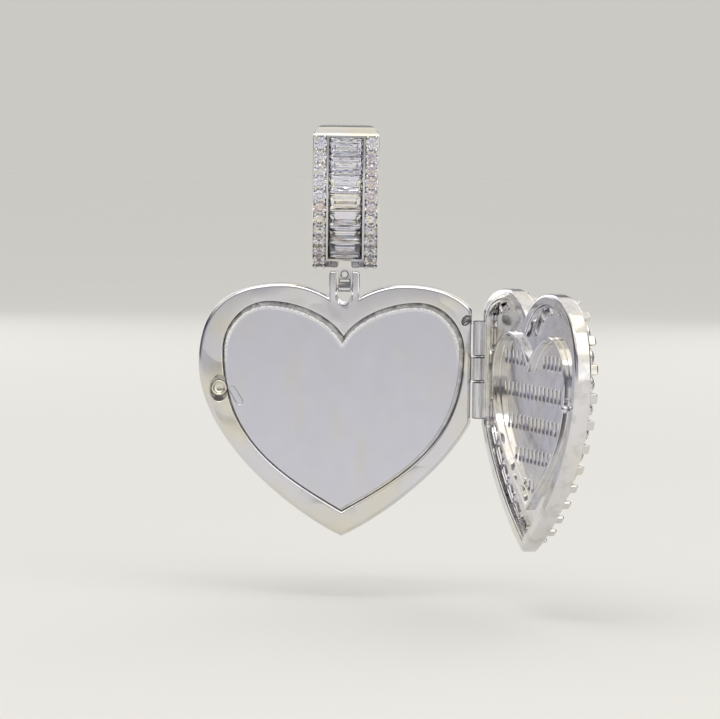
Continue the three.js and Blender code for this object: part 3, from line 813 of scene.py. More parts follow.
def recess_rings():
    """The recess, from its rounded lip down to a floor that is raised at the wall."""
    lip = 0.28
    rings = []
    for sine, cosine in quarter(4):
        outline = heart_outline(HEART_RECESS, -lip * (1 - sine))
        rings.append(ring(outline, PLATE_FRONT + lip * (1 - cosine)))
    for inset, lift in ((0, 0.1), (0.1, 0), (0.35, 0), (0.8, 0)):
        rings.append(ring(heart_outline(HEART_RECESS, inset), RECESS_FLOOR - lift))
    return rings


def hanger_posts():
    """Both posts as one rounded block, before the link's slot is cut."""
    corner, edge = 0.45, 0.3
    foot = 3.0
    outline = [(-HANGER_HALF, foot), (HANGER_HALF, foot)]
    for side, turns in ((1, range(5)), (-1, range(4, -1, -1))):
        for i in turns:
            turn = math.pi / 2 * i / 4
            x = HANGER_HALF - corner * (1 - math.cos(turn))
            z = HANGER_TOP - corner * (1 - math.sin(turn))
            outline.append((side * x, z))
    middle = Vector((0, (foot + HANGER_TOP) / 2))
    rings = []
    steps = 4
    stages = [(PLATE_FRONT, 1 - s, c) for s, c in quarter(steps)]
    stages += [(HANGER_BACK, 1 - s, -c) for s, c in reversed(quarter(steps))]
    for face, share, lift in stages:
        loop = []
        inset = edge * share
        for x, z in outline:
            p = Vector((x, z))
            away = Vector((math.copysign(inset, x), inset if z > middle.y else 0))
            loop.append(p - away)
        y = face + math.copysign(edge, lift or 1) * (1 - abs(lift))
        rings.append(ring(loop, y))
    return Shape().loft(rings)


def hanger_slot():
    """The gap between the posts, with its rounded foot opened out towards the front."""
    half, root, low = HANGER_GAP_HALF, 6.3, 5.15
    steps = 8

    def outline(grow):
        floor = []
        for i in range(steps + 1):
            share = 2 * i / steps - 1
            x = share * (half + grow * 0.2)
            z = low - grow + (root - low) * abs(share) ** 1.7
            floor.append(Vector((x, z)))
        top = 12
        return [*floor, Vector((half + grow * 0.2, top)), Vector((-half - grow * 0.2, top))]

    stages = [(-3.0, 0.78), (PLATE_FRONT - 0.01, 0.78), (PLATE_FRONT + 0.42, 0), (4.0, 0)]
    return Shape().loft([ring(outline(grow), y) for y, grow in stages])


def back_plate():
    """The heart with its recess, hanger, latch pocket, pin hole and shoulder dimple."""
    front = rounded_edge(HEART_EDGE, PLATE_FRONT, 0, EDGE_ROUND, HINGE_SIDE_X)
    back = rounded_edge(HEART_EDGE, PLATE_BACK, 0, EDGE_ROUND, HINGE_SIDE_X)
    rings = [*back, *reversed(front), *recess_rings()]
    piece = Shape().loft(rings).object("back_plate_cast")
    combine(piece, hanger_posts(), "UNION")
    combine(piece, hanger_slot())
    chamfer = 0.12
    pocket = []
    for y, grow in (
        (PLATE_FRONT - 1, chamfer),
        (PLATE_FRONT - 0.005, chamfer),
        (PLATE_FRONT + chamfer, 0),
        (PLATE_FRONT + POCKET_DEPTH, 0),
    ):
        pocket.append(ring(circle(LATCH, POCKET_HALF[0] + grow, 40, POCKET_HALF[1] + grow), y))
    combine(piece, Shape().loft(pocket))
    hole = Matrix.Translation((0, 0, HANGER_PIN_Z)) @ Matrix.Rotation(math.pi / 2, 4, "Y")
    pin_hole = Shape().lathe([(HANGER_PIN[0] + 0.02, -3), (HANGER_PIN[0] + 0.02, 3)], hole)
    combine(piece, pin_hole)
    dimple_place = Matrix.Translation((DIMPLE[0], PLATE_FRONT - 0.15, DIMPLE[1] + HEART_Z))
    dimple_place = dimple_place @ Matrix.Rotation(math.radians(35), 4, "Y")
    dimple = [(0.02, -0.95), (0.5, -0.65), (0.68, 0), (0.5, 0.65), (0.02, 0.95)]
    combine(piece, Shape().lathe(dimple, dimple_place, 16))
    darken_hollows(piece)
    return ride(piece, "heart", RHODIUM, ["back_plate"])


def darken_hollows(piece):
    """Marks painted shade in the gap round the photo plate, in the latch pocket and in the dimple, where
    shade falls.
    """
    deep = heart_outline(HEART_RECESS, 0.85)
    near_wall = heart_outline(HEART_RECESS, 0.36)
    lip = heart_outline(HEART_RECESS, -0.12)
    low_z = HEART_Z - 22.0
    high_z = HEART_Z + 1.0
    pocket_reach = 2.2
    dimple_reach = 1.1

    def shade_at(face):
        at = face.center / MM
        place = Vector((at.x, at.z - HEART_Z))
        in_dimple = (place - Vector(DIMPLE)).length < dimple_reach
        elsewhere = 0.9 if in_dimple and PLATE_FRONT + 0.08 < at.y < 0 else 0
        if not PLATE_FRONT + 0.15 < at.y < 0.1 or inside_outline(place, deep):
            return elsewhere
        if (place - Vector(LATCH)).length < pocket_reach:
            return 1.0
        if inside_outline(place, lip):
            # painted shade is darkest at the top of the heart, and against the wall
            height = min(max((at.z - low_z) / (high_z - low_z), 0), 1)
            by_wall = not inside_outline(place, near_wall)
            return (0.2 + 0.68 * height) * (1 if by_wall else 0.55)
        return elsewhere

    painted_shade(piece, shade_at)


def pry_notch():
    """A shallow round-ended hollow beside the latch, leaning left, to lift the plate out by."""
    middle = Vector((LATCH[0] + 2.5, LATCH[1] - 1.1))
    lean = math.radians(31)
    along = Vector((-math.sin(lean), math.cos(lean)))
    radius = 0.42
    reach = 1.05
    flare = 0.13
    rings = []
    for y, grow in ((-1, flare), (-0.004, flare), (0.12, 0), (0.3, 0)):
        loop = stadium(middle, along, radius + grow, reach, 8)
        rings.append(ring(loop, PHOTO_FRONT + y))
    return Shape().loft(rings)


def photo_plate():
    """The loose heart plate, with its burr marked along the upper edge."""
    edge = 0.05
    rings = []
    for inset, y in ((edge, PHOTO_BACK), (0, PHOTO_BACK - edge), (0, PHOTO_FRONT + edge)):
        rings.append(ring(heart_outline(HEART_RECESS, PHOTO_GAP + inset), y, PHOTO_SLIP))
    for inset in (edge, 0.15, 0.3, 0.45, 0.6, 0.9):
        rings.append(ring(heart_outline(HEART_RECESS, PHOTO_GAP + inset), PHOTO_FRONT, PHOTO_SLIP))
    piece = Shape().loft(rings).object("photo_plate_satin")
    socket_hole = circle(LATCH, 1.37, 40)
    combine(piece, Shape().loft([ring(socket_hole, PHOTO_FRONT - 1), ring(socket_hole, PHOTO_BACK + 1)]))
    combine(piece, pry_notch())
    outline = ring(heart_outline(HEART_RECESS, PHOTO_GAP), PHOTO_FRONT, PHOTO_SLIP)
    burr = piece.data.attributes.new("burr", "FLOAT", "POINT")
    band, low_z, high_z = 0.6, HEART_Z - 5.0, HEART_Z - 0.5
    for i, vertex in enumerate(piece.data.vertices):
        at = vertex.co / MM
        near = min((Vector((at.x, at.z)) - Vector((p.x, p.z))).length for p in outline)
        height = (at.z - low_z) / (high_z - low_z)
        burr.data[i].value = min(1, 1.7 * max(0, 1 - near / band)) * min(max(height, 0), 1)
    return ride(piece, "heart", SATIN, ["photo_plate"])


def latch_socket():
    """A ring with a rolled lip round a shallow dish, standing in its pocket."""
    outer, inner = 1.17, 0.8
    floor = PLATE_FRONT + POCKET_DEPTH - 0.05
    lip = (outer - inner) / 2
    middle = (outer + inner) / 2
    profile = [(outer, floor)]
    for i in range(9):
        turn = math.pi * i / 8
        profile.append((middle + lip * math.cos(turn), PLATE_FRONT + 0.25 - lip * math.sin(turn)))
    dish = 0.25
    for sine, cosine in quarter(6):
        profile.append((max(inner * cosine, 0.01), floor - dish * (1 - sine)))
    rings = [
        [Vector((p.x, y, p.y + HEART_Z)) for p in circle(LATCH, radius, 48)]
        for radius, y in profile
    ]
    piece = Shape().loft(rings).object("latch_socket_ring")
    return ride(piece, "heart", RHODIUM, ["latch_socket"])


# ---------------------------------------------------------------- hinge


def knuckle(name, span, leaf, body, node, turn=None):
    """A barrel with a leaf that reaches the heart's flat side. The leaf is +1 behind or -1 ahead."""
    gap, bevel, step_back = 0.09, 0.15, 0.1
    low, high = span[0] + gap + HEART_Z, span[1] - gap + HEART_Z
    steps = 30
    rings = []
    for z, inset in ((low, bevel), (low + bevel, 0), (high - bevel, 0), (high, bevel)):
        radius = KNUCKLE_RADIUS - inset
        sweep = 1.5 * math.pi + math.asin(step_back / radius)
        loop = []
        for i in range(steps + 1):
            angle = math.pi / 2 - sweep * i / steps
            x = HINGE.x + radius * math.cos(angle)
            loop.append(Vector((x, HINGE.y + leaf * radius * math.sin(angle), z)))
        leaf_x = HINGE_SIDE_X + 0.03
        loop.append(Vector((leaf_x, HINGE.y + leaf * step_back, z)))
        loop.append(Vector((leaf_x, HINGE.y + leaf * radius, z)))
        rings.append(loop)
    piece = Shape().loft(rings).object(name, turn)
    # Painted shade on the barrel's ends, in the gaps between the knuckles.
    painted_shade(piece, lambda face: 0.9 if abs(face.normal.z) > 0.5 else 0)
    return ride(piece, body, BRUSHED, [node])


def hinge():
    """Two knuckles on the lid, one on the plate, and the pin through them."""
    for end in ("upper", "lower"):
        name = f"lid_knuckle_{end}"
        knuckle(f"{name}_drawn", KNUCKLES[end], -1, "lid", name, LID_TURN)
    knuckle("plate_knuckle_drawn", KNUCKLES["middle"], 1, "heart", "plate_knuckle")
    low, high = KNUCKLES["lower"][0] + 0.15, KNUCKLES["upper"][1] - 0.15
    span = (low + HEART_Z, high + HEART_Z)
    pin("hinge_pin_wire", HINGE_PIN_RADIUS, *span, "Z", HINGE, "heart", "hinge_pin")


def pin(name, radius, low, high, axis, through, body, node):
    """A wire pin with domed ends, along X or Z between two places."""
    dome = 0.12
    profile = []
    for sine, cosine in quarter(4):
        profile.append((max(radius - dome + dome * sine, 1e-3), low + dome * (1 - cosine)))
    profile += [(r, high + low - h) for r, h in reversed(profile)]
    place = Matrix.Translation((through.x, through.y, 0))
    if axis == "X":
        place = Matrix.Translation((0, 0, through.z)) @ Matrix.Rotation(math.pi / 2, 4, "Y")
    piece = Shape().lathe([(1e-3, profile[0][1]), *profile, (1e-3, profile[-1][1])], place)
    return ride(piece.object(name), body, PIN, [node])


# ---------------------------------------------------------------- link


def connector_link():
    """A flat link with an eye at each end, a slot, and a round window above the hanger pin."""
    eyes = []
    steps = 16
    for z, first in ((BAIL_PIN_Z, 0.0), (HANGER_PIN_Z, math.pi)):
        for i in range(steps + 1):
            turn = first + math.pi * i / steps
            eyes.append(Vector((LINK_EYE * math.cos(turn), z + LINK_EYE * math.sin(turn))))
    # the waist between the eyes
    waist = []
    low, high = HANGER_PIN_Z + LINK_EYE, BAIL_PIN_Z - LINK_EYE
    for sign, heights in ((-1, (high, low)), (1, (low, high))):
        waist.append([Vector((sign * LINK_HALF_DEPTH, z)) for z in heights])
    outline = eyes[:steps + 1] + waist[0] + eyes[steps + 1:] + waist[1]
    bevel = 0.12
    middle = Vector((0, (BAIL_PIN_Z + HANGER_PIN_Z) / 2))
    rings = []
    half = LINK_WIDTH / 2
    for x, inset in ((-half, bevel), (-half + bevel, 0), (half - bevel, 0), (half, bevel)):
        loop = []
        for p in outline:
            away = Vector((p.x, (p.y - middle.y) * 0.4))
            away.normalize()
            q = p - away * inset
            loop.append(Vector((x, q.x, q.y)))
        rings.append(loop)
    piece = Shape().loft(rings).object("connector_link_cast")
    front = Matrix.Rotation(math.pi / 2, 4, "X")
    window = Matrix.Translation((0, 0, HANGER_PIN_Z + 1.95)) @ front
    bore = [(0.62, -3), (0.62, -0.56), (0.45, -0.42), (0.45, 0.42), (0.62, 0.56), (0.62, 3)]
    combine(piece, Shape().lathe(bore, window))
    slot_z = HANGER_PIN_Z + 1.02
    slot = []
    for y, grow in ((-2, 0.12), (-0.56, 0.12), (-0.44, 0), (0.44, 0), (0.56, 0.12), (2, 0.12)):
        x, z = 0.72 + grow, 0.17 + grow
        corners = [(-x, -z), (x, -z), (x, z), (-x, z)]
        slot.append([Vector((a, y, slot_z + b)) for a, b in corners])
    combine(piece, Shape().loft(slot))

    # Painted shade inside the link's window and slot.
    def in_the_openings(face):
        at = face.center / MM
        between_eyes = HANGER_PIN_Z + 0.7 < at.z < BAIL_PIN_Z - 0.9
        return 0.8 if abs(at.y) < 0.54 and abs(at.x) < 0.8 and between_eyes else 0

    painted_shade(piece, in_the_openings)
    ride(piece, "link", RHODIUM, ["connector_link"])
    through = Vector((0, 0, HANGER_PIN_Z))
    radius, reach = HANGER_PIN
    pin("hanger_pin_wire", radius, -reach, reach, "X", through, "heart", "hanger_pin")
    through = Vector((0, 0, BAIL_PIN_Z))
    radius, reach = BAIL_PIN
    pin("bail_pin_wire", radius, -reach, reach, "X", through, "bail", "bail_pin")


# ---------------------------------------------------------------- bail


def front_point(t):
    """The point at share t down the bail's front, and the direction of travel there."""
    a, b, c, d = (Vector(p) for p in BAIL_FRONT)
    u = 1 - t
    along = (b - a) * 3 * u * u + (c - b) * 6 * u * t + (d - c) * 3 * t * t
    return cubic((a, b, c, d), t), along.normalized()


def front_line(distance, share, steps=48):
    """The bail's front moved along its normal, outwards when the distance is positive."""
    points = []
    for i in range(steps + 1):
        at, along = front_point(share[0] + (share[1] - share[0]) * i / steps)
        points.append(Vector((at.x + along.y * distance, at.y - along.x * distance)))
    return points


def front_places(count, sink, share):
    """Places at equal steps down the front, each with its directions along and out."""
    places = spaced(front_line(-sink, share), count)
    result = []
    for at, along in places:
        out = Vector((0, along.y, -along.x))
        result.append((Vector((0, at.x, at.y)), Vector((0, along.x, along.y)), out))
    return result


def groove_tool(x0, x1, depth, share):
    """A cutter that follows the bail's front, from one side's x to the other's."""
    above = 1.0
    outer = front_line(above, share)
    inner = list(reversed(front_line(-depth, share)))
    outline = outer + inner
    return Shape().loft([[Vector((x, p.x, p.y)) for p in outline] for x in (x0, x1)])


def band_half_width(p, front):
    """Full width at the front wall, narrower over the crown and down the back."""
    crown_z = -0.2
    narrow_y = -0.5
    wide_y = -6.3
    full_behind = 1.7
    fade = 0.9
    if p.y > crown_z:
        share = min(max((p.x - narrow_y) / (wide_y - narrow_y), 0), 1)
    else:
        wall = min((p - q).length for q in front)
        share = 1 - min(max((wall - full_behind) / fade, 0), 1)
        share = share * share * (3 - 2 * share)
    return BAIL_BACK_HALF + (BAIL_HALF - BAIL_BACK_HALF) * share


def band_skin(outline, front, outwards):
    """Lines across the band's outer or inner skin, from its edge in, as (point, half width)."""
    edge = 0.22
    centre = Vector((-1.0, -8.5))
    lines = []
    for lift, inset in ((edge, 0), (edge * 0.3, edge * 0.3), (0, edge)):
        line = []
        for p in outline:
            away = (p - centre).normalized() * (outwards * -lift)
            line.append((p + away, max(band_half_width(p, front) - inset, 0.1)))
        lines.append(line)
    return lines


def bail_loop():
    """The band, with grooves for its stones and a foot that is open for the link."""
    front = front_line(0, (0, 1), 40)
    outer = front + chain(BAIL_OUTER)[:-1]
    inner = chain(BAIL_INNER)[:-1]
    count = 150
    outer_loop = resampled(outer + outer[:1], count + 1)[:-1]
    inner_loop = resampled(inner + inner[:1], count + 1)[:-1]
    # both loops start at the top of the front
    top = Vector(BAIL_INNER[1][0][0])
    shift = min(range(count), key=lambda i: (inner_loop[i] - top).length)
    inner_loop = inner_loop[shift:] + inner_loop[:shift]
    lines = [*reversed(band_skin(outer_loop, front, 1)), *band_skin(inner_loop, front, -1)]
    across = []
    for side, ordered in ((-1, lines), (1, reversed(lines))):
        for line in ordered:
            across.append([Vector((side * half, p.x, p.y)) for p, half in line])
    piece = Shape().loft(across, closed=True).object("bail_loop_cast")

    channel = BAGUETTE_LENGTH / 2 + 0.05
    inside = BAGUETTE_LENGTH / 2 + BAIL_RAIL
    outside = BAIL_HALF - 0.1
    combine(piece, groove_tool(-channel, channel, CHANNEL_DEPTH, CHANNEL))
    combine(piece, groove_tool(inside, outside, COLUMN_DEPTH, COLUMN))
    combine(piece, groove_tool(-outside, -inside, COLUMN_DEPTH, COLUMN))
    # a thin bar is left across the front of the foot's notch
    reach = 1.25
    bar_back = -0.8
    bar_top = BAIL_PIN_Z + 0.05
    notch_top = BAIL_PIN_Z + 1.05
    notch = [
        (-reach, BAIL_FOOT_Z - 1), (reach, BAIL_FOOT_Z - 1), (reach, notch_top),
        (bar_back, notch_top), (bar_back, bar_top), (-reach, bar_top),
    ]
    combine(piece, Shape().loft([[Vector((x, y, z)) for y, z in notch] for x in (-1.1, 1.1)]))
    skin = front_line(0, (0, 1))

    # Painted shade down in the stone grooves, darker in the side grooves than in the middle one.
    def in_the_grooves(face):
        at = face.center / MM
        below = min((Vector((at.y, at.z)) - p).length for p in skin)
        if abs(at.x) < BAIL_HALF - 0.15 and 0.3 < below < 1.85:
            return 0.6 if abs(at.x) > inside - 0.1 else 0.1
        return 0

    painted_shade(piece, in_the_grooves)
    return ride(piece, "bail", RHODIUM, ["bail_loop"])


def bead(shape, place, radius, below, above=0.0, sides=10):
    """A round metal post that holds a stone's edge, domed about a centre above its place."""
    profile = [(radius, -below)]
    for sine, cosine in quarter(4):
        profile.append((max(radius * cosine, 1e-3), above + radius * sine))
    shape.lathe(profile, place, sides)


def bail_stones():
    """The baguettes, the round stones beside them and the beads between those."""
    bead_height = 0.6
    bead_rise = 0.07
    baguette_crown, baguette_pavilion = 0.42, 1.12
    round_crown, round_pavilion = 0.36, 0.8
    for i, (at, _, out) in enumerate(front_places(BAGUETTE_COUNT, BAGUETTE_SINK, CHANNEL)):
        verts, faces = baguette(
            BAGUETTE_LENGTH, BAGUETTE_WIDTH - 0.02, baguette_crown, baguette_pavilion
        )
        place = seat(at, (1, 0, 0), out)
        node = f"bail_baguette_{i + 1}"
        stone_piece(f"{node}_cut", "bail", [(verts, faces, place)], [node], 10 + i)
    for side, sign in (("left", -1), ("right", 1)):
        beads = Shape()
        places = front_places(ROUND_COUNT, ROUND_SINK, COLUMN)
        for i, (at, _, out) in enumerate(places):
            verts, faces = brilliant(ROUND_DIAMETER / 2, round_crown, round_pavilion)
            centre = at + Vector((sign * ROUND_X, 0, 0))
            place = seat(centre, (math.cos(i), 0, math.sin(i)), out)
            node = f"bail_round_{side}_{i + 1:02d}"
            stone_piece(f"{node}_cut", "bail", [(verts, faces, place)], [node], 40 + 20 * sign + i)
        for i in range(ROUND_COUNT + 1):
            here = places[min(i, ROUND_COUNT - 1)]
            before = places[max(i - 1, 0)]
            step = (places[1][0] - places[0][0]).length
            if i == 0:
                at = here[0] - here[1] * step / 2
            elif i == ROUND_COUNT:
                at = here[0] + here[1] * step / 2
            else:
                at = (here[0] + before[0]) / 2
            out = (here[2] + before[2]).normalized()
            for offset in (-BEAD_SPREAD, BEAD_SPREAD):
                centre = at + Vector((sign * ROUND_X + offset, 0, 0)) + out * bead_rise
                bead(beads, seat(centre, (1, 0, 0), out), BEAD_RADIUS, bead_height)
        piece = beads.object(f"bail_beads_{side}")
        ride(piece, "bail", RHODIUM)


# ---------------------------------------------------------------- lid


def lid_inset(distance, count=HALF_COUNT, steps=40):
    """The lid's edge, moved inwards."""
    return heart_outline(HEART_EDGE, distance, HINGE_SIDE_X - distance, count, steps)


def panel_outset(distance):
    """The panel's edge, moved outwards."""
    return heart_outline(LID_PANEL, -distance)


def slot_places(row):
    """The x of each slot in a row, and the pitch."""
    _, start, end = row
    count = round((end - start) / SLOT_PITCH)
    pitch = (end - start) / count
    return [start + (i + 0.5) * pitch for i in range(count)], pitch


def halo_places():
    """An even number of places round the lid, each with its direction of travel."""
    outline = lid_inset(HALO_INSET, 73, 24)
    line = [*outline, outline[0]]
    length = lengths_along(line)[-1]
    return spaced(line, 2 * round(length / HALO_PITCH / 2))


def depth(value):
    """The y of a depth below the lid's rim."""
    return LID_BACK - value


def panel_ring(outset, down):
    """The panel's edge at a depth below the rim."""
    return ring(panel_outset(outset), depth(down))


def rim_ring(inset, down):
    """The lid's edge at a depth below the rim."""
    return ring(lid_inset(inset), depth(down))


def lid_shell():
    """The lid's cast shell: panel, ridge, gutter and rim behind, and stone seats in front."""
    lip = 0.1
    fillet = 0.12
    edge = 0.08
    back_round = 0.5
    front_round = 0.32
    outer_wall = 0.52
    inner_wall = 0.35
    channel_floor = GUTTER_DEPTH + LID_SHEET
    rings = [
        panel_ring(-fillet, PANEL_DEPTH),
        panel_ring(0, PANEL_DEPTH - fillet),
        panel_ring(0.02, RIDGE_DROP + lip),
        panel_ring(lip, RIDGE_DROP),
        panel_ring(RIDGE_WIDTH - lip, RIDGE_DROP),
        panel_ring(RIDGE_WIDTH, RIDGE_DROP + lip),
        panel_ring(RIDGE_WIDTH, GUTTER_DEPTH - lip),
        panel_ring(RIDGE_WIDTH + lip, GUTTER_DEPTH),
        rim_ring(RIM_WIDTH + lip, GUTTER_DEPTH),
        rim_ring(RIM_WIDTH, GUTTER_DEPTH - lip),
        rim_ring(RIM_WIDTH, lip),
        rim_ring(RIM_WIDTH - lip, 0),
    ]
    for sine, cosine in quarter():
        rings.append(rim_ring(back_round * (1 - sine), back_round * (1 - cosine)))
    for sine, cosine in reversed(quarter()):
        rings.append(rim_ring(front_round * (1 - sine), LID_DEPTH - front_round * (1 - cosine)))
    rings += [
        rim_ring(outer_wall - edge + 0.01, LID_DEPTH),
        rim_ring(outer_wall, LID_DEPTH - edge),
        rim_ring(outer_wall, channel_floor),
        panel_ring(inner_wall, channel_floor),
        panel_ring(inner_wall, LID_DEPTH - edge),
        panel_ring(inner_wall - edge, LID_DEPTH),
        panel_ring(edge, LID_DEPTH),
        panel_ring(0, LID_DEPTH - edge),
        panel_ring(0, PANEL_DEPTH + LID_SHEET),
    ]
    piece = Shape().loft(rings).object("lid_shell_cast")

    # every hole has a flared mouth; the cutters start and end clear of the metal
    holes = Shape()
    flare = 0.12
    mouth = HALO_HOLE + flare
    hole_stages = [(GUTTER_DEPTH - 0.3, mouth), (GUTTER_DEPTH - 0.002, mouth)]
    hole_stages += [(GUTTER_DEPTH + flare, HALO_HOLE), (channel_floor + 0.2, HALO_HOLE)]
    for at, _ in halo_places():
        holes.loft([ring(circle(at, radius, 20), depth(down)) for down, radius in hole_stages])
    slot_flare = 0.15
    slot_stages = [(PANEL_DEPTH - 0.3, slot_flare), (PANEL_DEPTH - 0.002, slot_flare)]
    slot_stages += [(PANEL_DEPTH + flare, 0), (PANEL_DEPTH + LID_SHEET + 0.2, 0)]
    upright = Vector((0, 1))
    slot_limit = panel_outset(-SLOT_MARGIN)
    for row in STONE_ROWS.values():
        places, _ = slot_places(row)
        for x in places:
            low, high = slot_span(x, row[0], slot_limit)
            middle = Vector((x, (low + high) / 2))
            reach = (high - low - SLOT_WIDTH) / 2
            loops = []
            for down, grow in slot_stages:
                outline = stadium(middle, upright, SLOT_WIDTH / 2 + grow, reach, 6)
                loops.append(ring(outline, depth(down)))
            holes.loft(loops)
    combine(piece, holes)
    piece.data.transform(scaled_turn())
    return ride(piece, "lid", CAST, ["lid_shell"])


def scaled_turn():
    """The lid's turn for a mesh already in metres."""
    return Matrix.Diagonal((MM, MM, MM, 1)) @ LID_TURN @ Matrix.Diagonal((1 / MM, 1 / MM, 1 / MM, 1))


def slot_span(x, z, limit):
    """The heights between which a slot at x lies, kept inside a limit."""
    steps = 42
    heights = [z + SLOT_LENGTH * (i / steps - 0.5) for i in range(steps + 1)]
    sides = (x - SLOT_WIDTH / 2, x + SLOT_WIDTH / 2)
    free = [h for h in heights if all(inside_outline((side, h), limit) for side in sides)]
    shortest = SLOT_WIDTH + 0.15
    return min(free[0], free[-1] - shortest), free[-1]


def lid_inner_rim():
    """The thin raised line inside the lid's rim."""
    top, low, lip = 0.15, 0.82, 0.08
    out_at, in_at = RIM_WIDTH + 0.03, RIM_WIDTH + 0.4
    stages = [
        (out_at, low), (out_at, top + lip), (out_at + lip, top),
        (in_at - lip, top), (in_at, top + lip), (in_at + 0.1, low),
    ]
    rings = [rim_ring(inset, down) for inset, down in stages]
    piece = Shape().loft(rings, closed=True).object("lid_inner_rim_cast", LID_TURN)
    return ride(piece, "lid", CAST, ["lid_inner_rim"])


def latch_peg():
    """A post on a flared foot, with the ball that snaps into the socket."""
    foot = depth(GUTTER_DEPTH) + 0.05
    ball = HINGE.y + 0.25 - foot
    radius = 0.58
    profile = [(0.62, 0), (0.5, 0.15), (0.4, 0.4), (0.36, ball - 0.5)]
    first, last, steps = -0.75, math.pi / 2, 9
    for i in range(steps + 1):
        turn = first + (last - first) * i / steps
        profile.append((max(radius * math.cos(turn), 1e-3), ball + radius * math.sin(turn)))
    place = Matrix.Translation((LATCH[0], foot, LATCH[1] + HEART_Z))
    place = place @ Matrix.Rotation(-math.pi / 2, 4, "X")
    piece = Shape().lathe(profile, place).object("latch_peg_ball", LID_TURN)
    return ride(piece, "lid", RHODIUM, ["latch_peg"])


def claw_rings(centre, tangent, outward):
    """A wide claw with a rounded top, hugging the wall between two stones."""
    half_width, half_thickness, corner = 0.74, 0.36, 0.2
    foot, top, dome = 1.1, 1.2, 0.34
    rings = []
    stages = [(-foot, 0.12), (0.12 - foot, 0)]
    stages += [(top - dome * (1 - sine), dome * (1 - cosine)) for sine, cosine in quarter(5)]
    for height, inset in stages:
        loop = []
        for u_sign, v_sign in ((1, 1), (-1, 1), (-1, -1), (1, -1)):
            u = half_width - inset
            v = half_thickness - min(inset, half_thickness - 0.05)
            cut = min(corner, v * 0.9)
            ends = [(u, v - cut), (u - cut * 0.3, v - cut * 0.3), (u - cut, v)]
            if u_sign * v_sign < 0:
                ends.reverse()
            for along, out in ends:
                spot = centre + tangent * (u_sign * along) + outward * (v_sign * out)
                loop.append(Vector((spot.x, LID_FRONT - height, spot.y + HEART_Z)))
        rings.append(loop)
    return rings


def halo():
    """The round stones, their seats and the claws between them."""
    places = halo_places()
    girdle = LID_FRONT - HALO_RISE
    crown, pavilion = 0.6, 1.28
    stones = []
    seats = Shape()
    claws = Shape()
    front = Vector((0, -1, 0))
    for i, (at, along) in enumerate(places):
        centre = Vector((at.x, girdle, at.y + HEART_Z))
        verts, faces = brilliant(HALO_DIAMETER / 2 - 0.02, crown, pavilion)
        stones.append((verts, faces, seat(centre, (along.x, 0, along.y), front)))
        cup = [(1.2, -1.0), (1.58, 0.04), (1.7, 0.0), (1.62, -0.5), (1.3, -1.25)]
        cup_place = seat(centre, (1, 0, 0), front)
        rings = [
            [
                cup_place @ Vector((r * math.cos(t), r * math.sin(t), h))
                for t in [2 * math.pi * k / 28 for k in range(28)]
            ]
            for r, h in cup
        ]
        seats.loft(rings, closed=True)
        after, after_along = places[(i + 1) % len(places)]
        between = (at + after) / 2
        outward = (along + after_along).normalized()
        normal = Vector((-outward.y, outward.x))
        claws.loft(claw_rings(between + normal * CLAW_OUT, outward, normal))
        spot = between - normal * CLAW_PIN_IN
        place = seat((spot.x, LID_FRONT, spot.y + HEART_Z), (1, 0, 0), front)
        bead(claws, place, radius=0.36, below=0.6, above=0.49, sides=14)
    stone_piece("halo_stones_cut", "lid", stones, ["halo_stones"], 90, LID_TURN)
    ride(seats.object("halo_seats", LID_TURN), "lid", RHODIUM)
    ride(claws.object("halo_claws", LID_TURN), "lid", RHODIUM)


def stone_rows():
    """Upright step-cut stones in rows, trimmed to the panel, with a bar between two rows."""
    outline = panel_outset(-0.12)
    base = depth(PANEL_DEPTH + LID_SHEET)
    front = Vector((0, -1, 0))
    gap = 0.06
    seam = 0.05
    crown = 0.45
    pavilion = 0.6
    girdle = 0.62
    step = 0.1
    fewest_steps = 12  # a shorter stone isn't worth setting
    for number, (name, row) in enumerate(STONE_ROWS.items()):
        places, pitch = slot_places(row)
        stones = []
        for x in places:
            heights = []
            for side in (-1, 1):
                corner = x + side * (pitch / 2 - seam)
                reach = ROW_STONE_LENGTH / 2
                steps = [row[0] - reach + step * k for k in range(round(2 * reach / step) + 1)]
                heights.append([z for z in steps if inside_outline((corner, z), outline)])
            both = sorted(set(round(z, 3) for z in heights[0]) & set(round(z, 3) for z in heights[1]))
            if len(both) < fewest_steps:
                continue
            low, high = both[0], both[-1]
            verts, faces = baguette(high - low - gap, pitch - gap, crown, pavilion, 2)
            centre = (x, base - girdle, (low + high) / 2 + HEART_Z)
            stones.append((verts, faces, seat(centre, (0, 0, 1), front)))
        node = f"lid_stones_{name}"
        stone_piece(f"{node}_cut", "lid", stones, [node], 120 + number, LID_TURN)
    bars = Shape()
    section = [(-0.2, 0), (-0.2, 0.6), (-0.1, 0.75), (0.1, 0.75), (0.2, 0.6), (0.2, 0)]
    tenths = range(-150, 151)
    for z in ROW_BAR_HEIGHTS:
        span = [x / 10 for x in tenths if inside_outline((x / 10, z), outline)]
        low, high = span[0], span[-1]
        loops = [
            [Vector((x, base + 0.02 - h, z + HEART_Z + s)) for s, h in section] for x in (low, high)
        ]
        bars.loft(loops)
    ride(bars.object("lid_row_bars", LID_TURN), "lid", RHODIUM)


# ---------------------------------------------------------------- build

back_plate()
photo_plate()
latch_socket()
hinge()
connector_link()
bail_loop()
bail_stones()
lid_shell()
lid_inner_rim()
latch_peg()
halo()
stone_rows()

# ---------------------------------------------------------------- floor, light and camera


